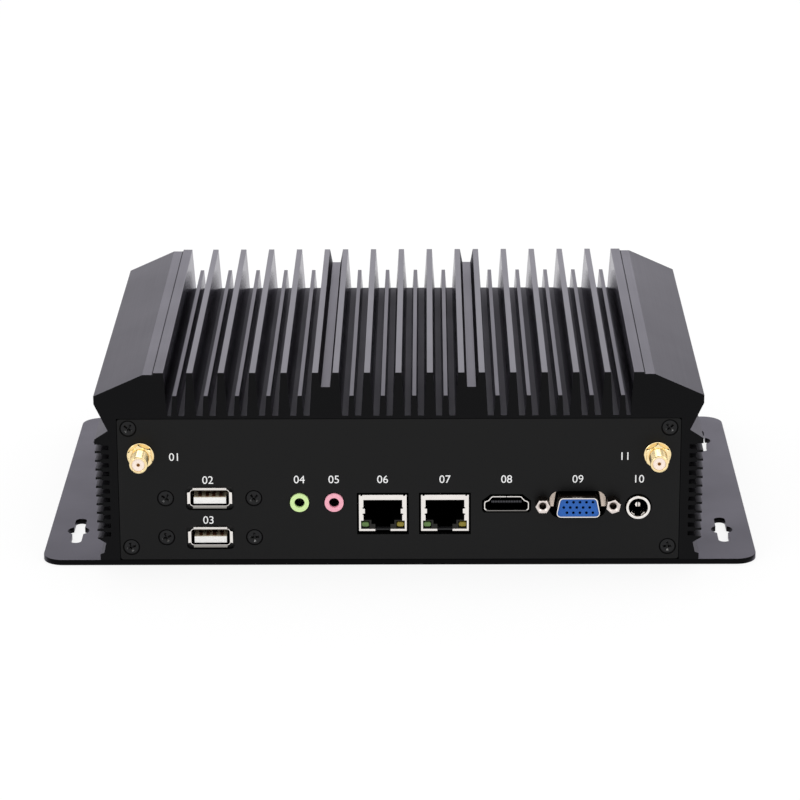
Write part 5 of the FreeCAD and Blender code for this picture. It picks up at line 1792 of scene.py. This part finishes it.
@dataclass
class StatusLights:
    """Two clouded domes beside the button."""

    bench: Bench
    radius: float = 1.5
    dome: float = 0.6
    dome_steps: int = 8
    plain_radius: float = 2.0
    steps: int = 40

    def build(self) -> None:
        """Replaces the plain lenses by domed ones."""
        extent = Extent.of("status_lights")
        profile = [(self.radius, -extent.size.y), (self.radius, -self.dome)]
        profile += [(self.radius * math.cos(angle) + OVERLAP,
                     -self.dome + self.dome * math.sin(angle))
                    for angle in angles(math.pi / 2, self.dome_steps)[1:]]
        placements = [Facing.REAR.at((x, extent.high.y, extent.centre.z))
                      for x in (extent.low.x + self.plain_radius,
                                extent.high.x - self.plain_radius)]
        self.bench.piece("status_lights_domed", Solid().lathe(profile, steps=self.steps),
                         placements, CLEAR_LENS, ["status_lights"])


# ------------------------------------------------------------------ numerals

@dataclass
class Numerals:
    """Plain printed numerals that number the sockets of the front panel."""

    bench: Bench
    height: float = 2.9
    # The height of a numeral where the size of its letters is 1.
    cap_share: float = 0.7
    ink: float = 0.02
    curve_steps: int = 4
    # Numerals beside the aerial sockets and over the two USB sockets: each with its node and how
    # far it stands aside, or over it.
    beside: tuple[tuple[str, str, float], ...] = (("01", "aerial_1_socket", 12.0),
                                                  ("11", "aerial_2_socket", -11.5))
    beside_drop: float = 0.7
    over: tuple[tuple[str, str, float], ...] = (("02", "usb_upper_shell", 2.8),
                                                ("03", "usb_lower_shell", 2.5))
    over_shift: float = -0.55
    # Numerals that share one line over the network sockets.
    row: tuple[tuple[str, str], ...] = (
        ("04", "speaker_jack"), ("05", "microphone_jack"), ("06", "network_first_shell"),
        ("07", "network_second_shell"), ("08", "digital_video_shell"),
        ("09", "analogue_video_shell"), ("10", "power_inlet_sleeve"))
    row_lift: float = 5.65

    def places(self) -> list[tuple[str, float, float]]:
        """Finds where each numeral goes.

        Returns:
            Each numeral with the X and the Z of its middle.
        """
        found = []
        for text, node, aside in self.beside:
            centre = Extent.of(node).centre
            found.append((text, centre.x + aside, centre.z - self.beside_drop))
        for text, node, lift in self.over:
            extent = Extent.of(node)
            found.append((text, extent.centre.x + self.over_shift, extent.high.z + lift))
        level = Extent.of("network_first_shell").high.z + self.row_lift
        return found + [(text, Extent.of(node).centre.x, level) for text, node in self.row]

    def build(self) -> None:
        """Makes all the numerals as one piece."""
        made = Solid()
        for text, x, z in self.places():
            curve = bpy.data.curves.new("numeral", "FONT")
            curve.body = text
            curve.align_x = "CENTER"
            curve.align_y = "CENTER"
            curve.size = self.height / self.cap_share
            curve.extrude = self.ink / 2
            curve.resolution_u = self.curve_steps
            holder = bpy.data.objects.new("numeral", curve)
            mesh = bpy.data.meshes.new_from_object(holder)
            mesh.transform(Matrix.Translation((x, z, 0.0)))
            made.add(mesh)
            bpy.data.objects.remove(holder)
            bpy.data.curves.remove(curve)
            bpy.data.meshes.remove(mesh)
        plane = Extent.of("front_panel").low.y
        self.bench.piece("front_numerals", made, [Facing.FRONT.at((0.0, plane, 0.0))], INK)


# ------------------------------------------------------------------ inside

@dataclass
class Interior:
    """The pieces inside the case."""

    bench: Bench
    block_edge: float = 0.3

    def build(self) -> None:
        """Dresses every inner node."""
        dress = self.bench.dress
        dress(BOARD, "motherboard", "memory_module", "storage_module", "wireless_card")
        dress(CHIP, "processor")
        dress(PAD, "thermal_pad")
        dress(ALUMINIUM, "heat_block", edge=self.block_edge)
        dress(BRASS, "board_posts")
        dress(STEEL, "board_screws", "heat_block_screws", "coin_cell")
        dress(BLACK_PLASTIC, "memory_socket", "card_sockets", "coin_cell_holder", "usb_holders")
        dress(CONTACT, "network_contacts")


# ------------------------------------------------------------------ studio

@dataclass
class Lamp:
    """A square soft lamp: its place and side in metres, and its power in watts."""

    name: str
    at: tuple[float, float, float]
    size: float
    power: float

    def build(self, target: Vector) -> None:
        """Hangs the lamp so that it points at a target.

        Args:
            target: What it points at, in metres.
        """
        light = bpy.data.lights.new(self.name, "AREA")
        light.shape = "SQUARE"
        light.size = self.size
        light.energy = self.power
        lamp = bpy.data.objects.new(self.name, light)
        lamp.location = self.at
        lamp.rotation_euler = (target - Vector(self.at)).to_track_quat("-Z", "Y").to_euler()
        lamp.visible_camera = False
        bpy.context.scene.collection.objects.link(lamp)


@dataclass
class Studio:
    """A pale floor, a white surround and soft lamps. Its lengths are in metres."""

    floor_size: float = 16.0
    floor_gap: float = 0.0001
    floor_colour: Colour = (0.90, 0.90, 0.90)
    floor_shade: float = 0.99
    floor_roughness: float = 0.9
    cloud_scale: float = 3.0
    # The floor's own light near the object, how much it gains further out, and where it does.
    glow_near: float = 0.82
    glow_rise: float = 0.18
    glow_reach: tuple[float, float] = (0.25, 1.1)
    ambient: float = 0.85
    target: tuple[float, float, float] = (0, 0, 0.03)
    lamps: tuple[Lamp, ...] = (Lamp("overhead", (0.0, 0.1, 1.6), 1.4, 9.0),
                               Lamp("left", (-1.5, -0.9, 1.0), 0.9, 4.0),
                               Lamp("right", (1.4, -1.1, 0.9), 0.9, 3.0),
                               Lamp("behind", (0.0, 1.8, 0.9), 1.2, 5.0))

    def world(self) -> None:
        """A surround that is white where it is seen and dimmer where it lights."""
        world = bpy.data.worlds.new("surround")
        bpy.context.scene.world = world
        graph = Graph(world)
        strength = self.ambient + self.seen(graph) * (1.0 - self.ambient)
        graph.surface(graph.node("ShaderNodeBackground",
                                 inputs={"Color": WHITE, "Strength": strength}))

    def seen(self, graph: Graph) -> Wire:
        """Tells the rays that come from the camera, a reflection or a glass from the others.

        Args:
            graph: The graph of the material or of the world.

        Returns:
            A wire that is 1 for them and 0 for the others.
        """
        wires = [graph.node("ShaderNodeLightPath", output=f"Is {kind} Ray")
                 for kind in ("Camera", "Glossy", "Transmission")]
        return wires[0].maximum(wires[1]).maximum(wires[2])

    def paint(self, graph: Graph) -> Wire:
        """Makes a floor that keeps the shadow near the object and fades to white further out.

        Args:
            graph: The graph of the floor's material.

        Returns:
            The wire of the shader.
        """
        place = graph.place()
        reach = graph.node("ShaderNodeVectorMath", {"operation": "LENGTH"}, {0: place}, "Value")
        near, far = self.glow_reach
        fade = graph.node("ShaderNodeMapRange",
                          inputs={"Value": reach, "From Min": near, "From Max": far})
        darker = tuple(channel * self.floor_shade for channel in self.floor_colour)
        colour = graph.blend(graph.noise(place, self.cloud_scale), darker, self.floor_colour)
        paint = graph.node("ShaderNodeBsdfPrincipled", inputs={
            "Base Color": colour, "Roughness": self.floor_roughness, "Specular IOR Level": 0.0})
        glow = graph.node("ShaderNodeEmission", inputs={"Color": WHITE, "Strength": 1.0})
        share = self.seen(graph) * (fade * self.glow_rise + self.glow_near)
        return graph.node("ShaderNodeMixShader", inputs={0: share, 1: paint, 2: glow})

    def floor(self) -> None:
        """Lays the floor just under the object."""
        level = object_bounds()[0][2] - self.floor_gap
        mesh = bpy.data.meshes.new("floor")
        mesh.from_pydata(flat(block(self.floor_size, self.floor_size), level), [], [(0, 1, 2, 3)])
        floor = bpy.data.objects.new("floor", mesh)
        bpy.context.scene.collection.objects.link(floor)
        material = bpy.data.materials.new("pale_floor")
        graph = Graph(material)
        graph.surface(self.paint(graph))
        mesh.materials.append(material)
        floor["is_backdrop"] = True

    def build(self) -> None:
        """Sets up the whole studio."""
        bpy.context.scene.view_settings.view_transform = "Standard"
        self.world()
        self.floor()
        for lamp in self.lamps:
            lamp.build(Vector(self.target))


@dataclass
class Viewpoint:
    """The camera: a long lens from the front, looking down on the case."""

    at: tuple[float, float, float] = (0.010135, -1.207564, 0.434177)
    lens: float = 151.77
    sensor: float = 36.0
    down: float = 18.264
    aside: float = 0.489
    roll: float = -0.285

    def build(self) -> None:
        """Makes the scene's camera."""
        data = bpy.data.cameras.new("camera")
        data.lens = self.lens
        data.sensor_width = self.sensor
        camera = bpy.data.objects.new("camera", data)
        camera.matrix_world = (Matrix.Translation(Vector(self.at))
                               @ Matrix.Rotation(math.radians(self.aside), 4, "Z")
                               @ Matrix.Rotation(math.radians(90.0 - self.down), 4, "X")
                               @ Matrix.Rotation(math.radians(self.roll), 4, "Z"))
        bpy.context.scene.collection.objects.link(camera)
        bpy.context.scene.camera = camera


# ------------------------------------------------------------------ assembly

def build_front(bench: Bench) -> None:
    """Builds everything on the front panel.

    Args:
        bench: The bench that makes the pieces.
    """
    for name in ("upper", "lower"):
        UsbSocket(bench, name).build()
    AudioJack(bench, "speaker_jack", GREEN_PLASTIC).build()
    AudioJack(bench, "microphone_jack", PINK_PLASTIC).build()
    for name in ("first", "second"):
        NetworkSocket(bench, name).build()
    NetworkLights(bench, "network_green_lights", GREEN_LENS).build()
    NetworkLights(bench, "network_yellow_lights", YELLOW_LENS).build()
    DigitalVideoSocket(bench).build()
    shell = "analogue_video_shell"
    DeeSocket(bench, shell, Facing.FRONT, width=16.1, tall=7.4, slope=1.4, wide_side=-1,
              proud=6.0, sheet=0.46).build()
    bench.dress(BLUE_PLASTIC, "analogue_video_insert")
    PinHoles(bench).build()
    HexPosts(bench, "analogue_video_posts", Facing.FRONT, [shell]).build()
    PowerInlet(bench).build()
    for number in (1, 2):
        AerialSocket(bench, number).build()
    AerialFittings(bench).build()
    Numerals(bench).build()


def build_rear(bench: Bench) -> None:
    """Builds everything on the rear panel.

    Args:
        bench: The bench that makes the pieces.
    """
    for name in ("first", "second"):
        SerialSocket(bench, name).build()
    HexPosts(bench, "serial_posts", Facing.REAR,
             ["serial_first_shell", "serial_second_shell"]).build()
    PowerButton(bench).build()
    StatusLights(bench).build()


def build_screws(bench: Bench) -> None:
    """Builds the screws of the panels and the plate.

    Args:
        bench: The bench that makes the pieces.
    """
    screws = Screws(bench)
    screws.build("front_panel_screws", Facing.FRONT)
    screws.build("usb_screws", Facing.FRONT)
    screws.build("rear_panel_screws", Facing.REAR)
    screws.build("base_plate_screws", Facing.UNDER, 3)


def main() -> None:
    """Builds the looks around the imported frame, in order."""
    logging.basicConfig(level=logging.INFO, format="%(message)s")
    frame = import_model()
    bench = Bench(frame)
    Casing(bench).build()
    Interior(bench).build()
    build_front(bench)
    build_rear(bench)
    build_screws(bench)
    Studio().build()
    Viewpoint().build()
    LOG.info("%d pieces made", bench.count)


if __name__ == "__main__":
    main()
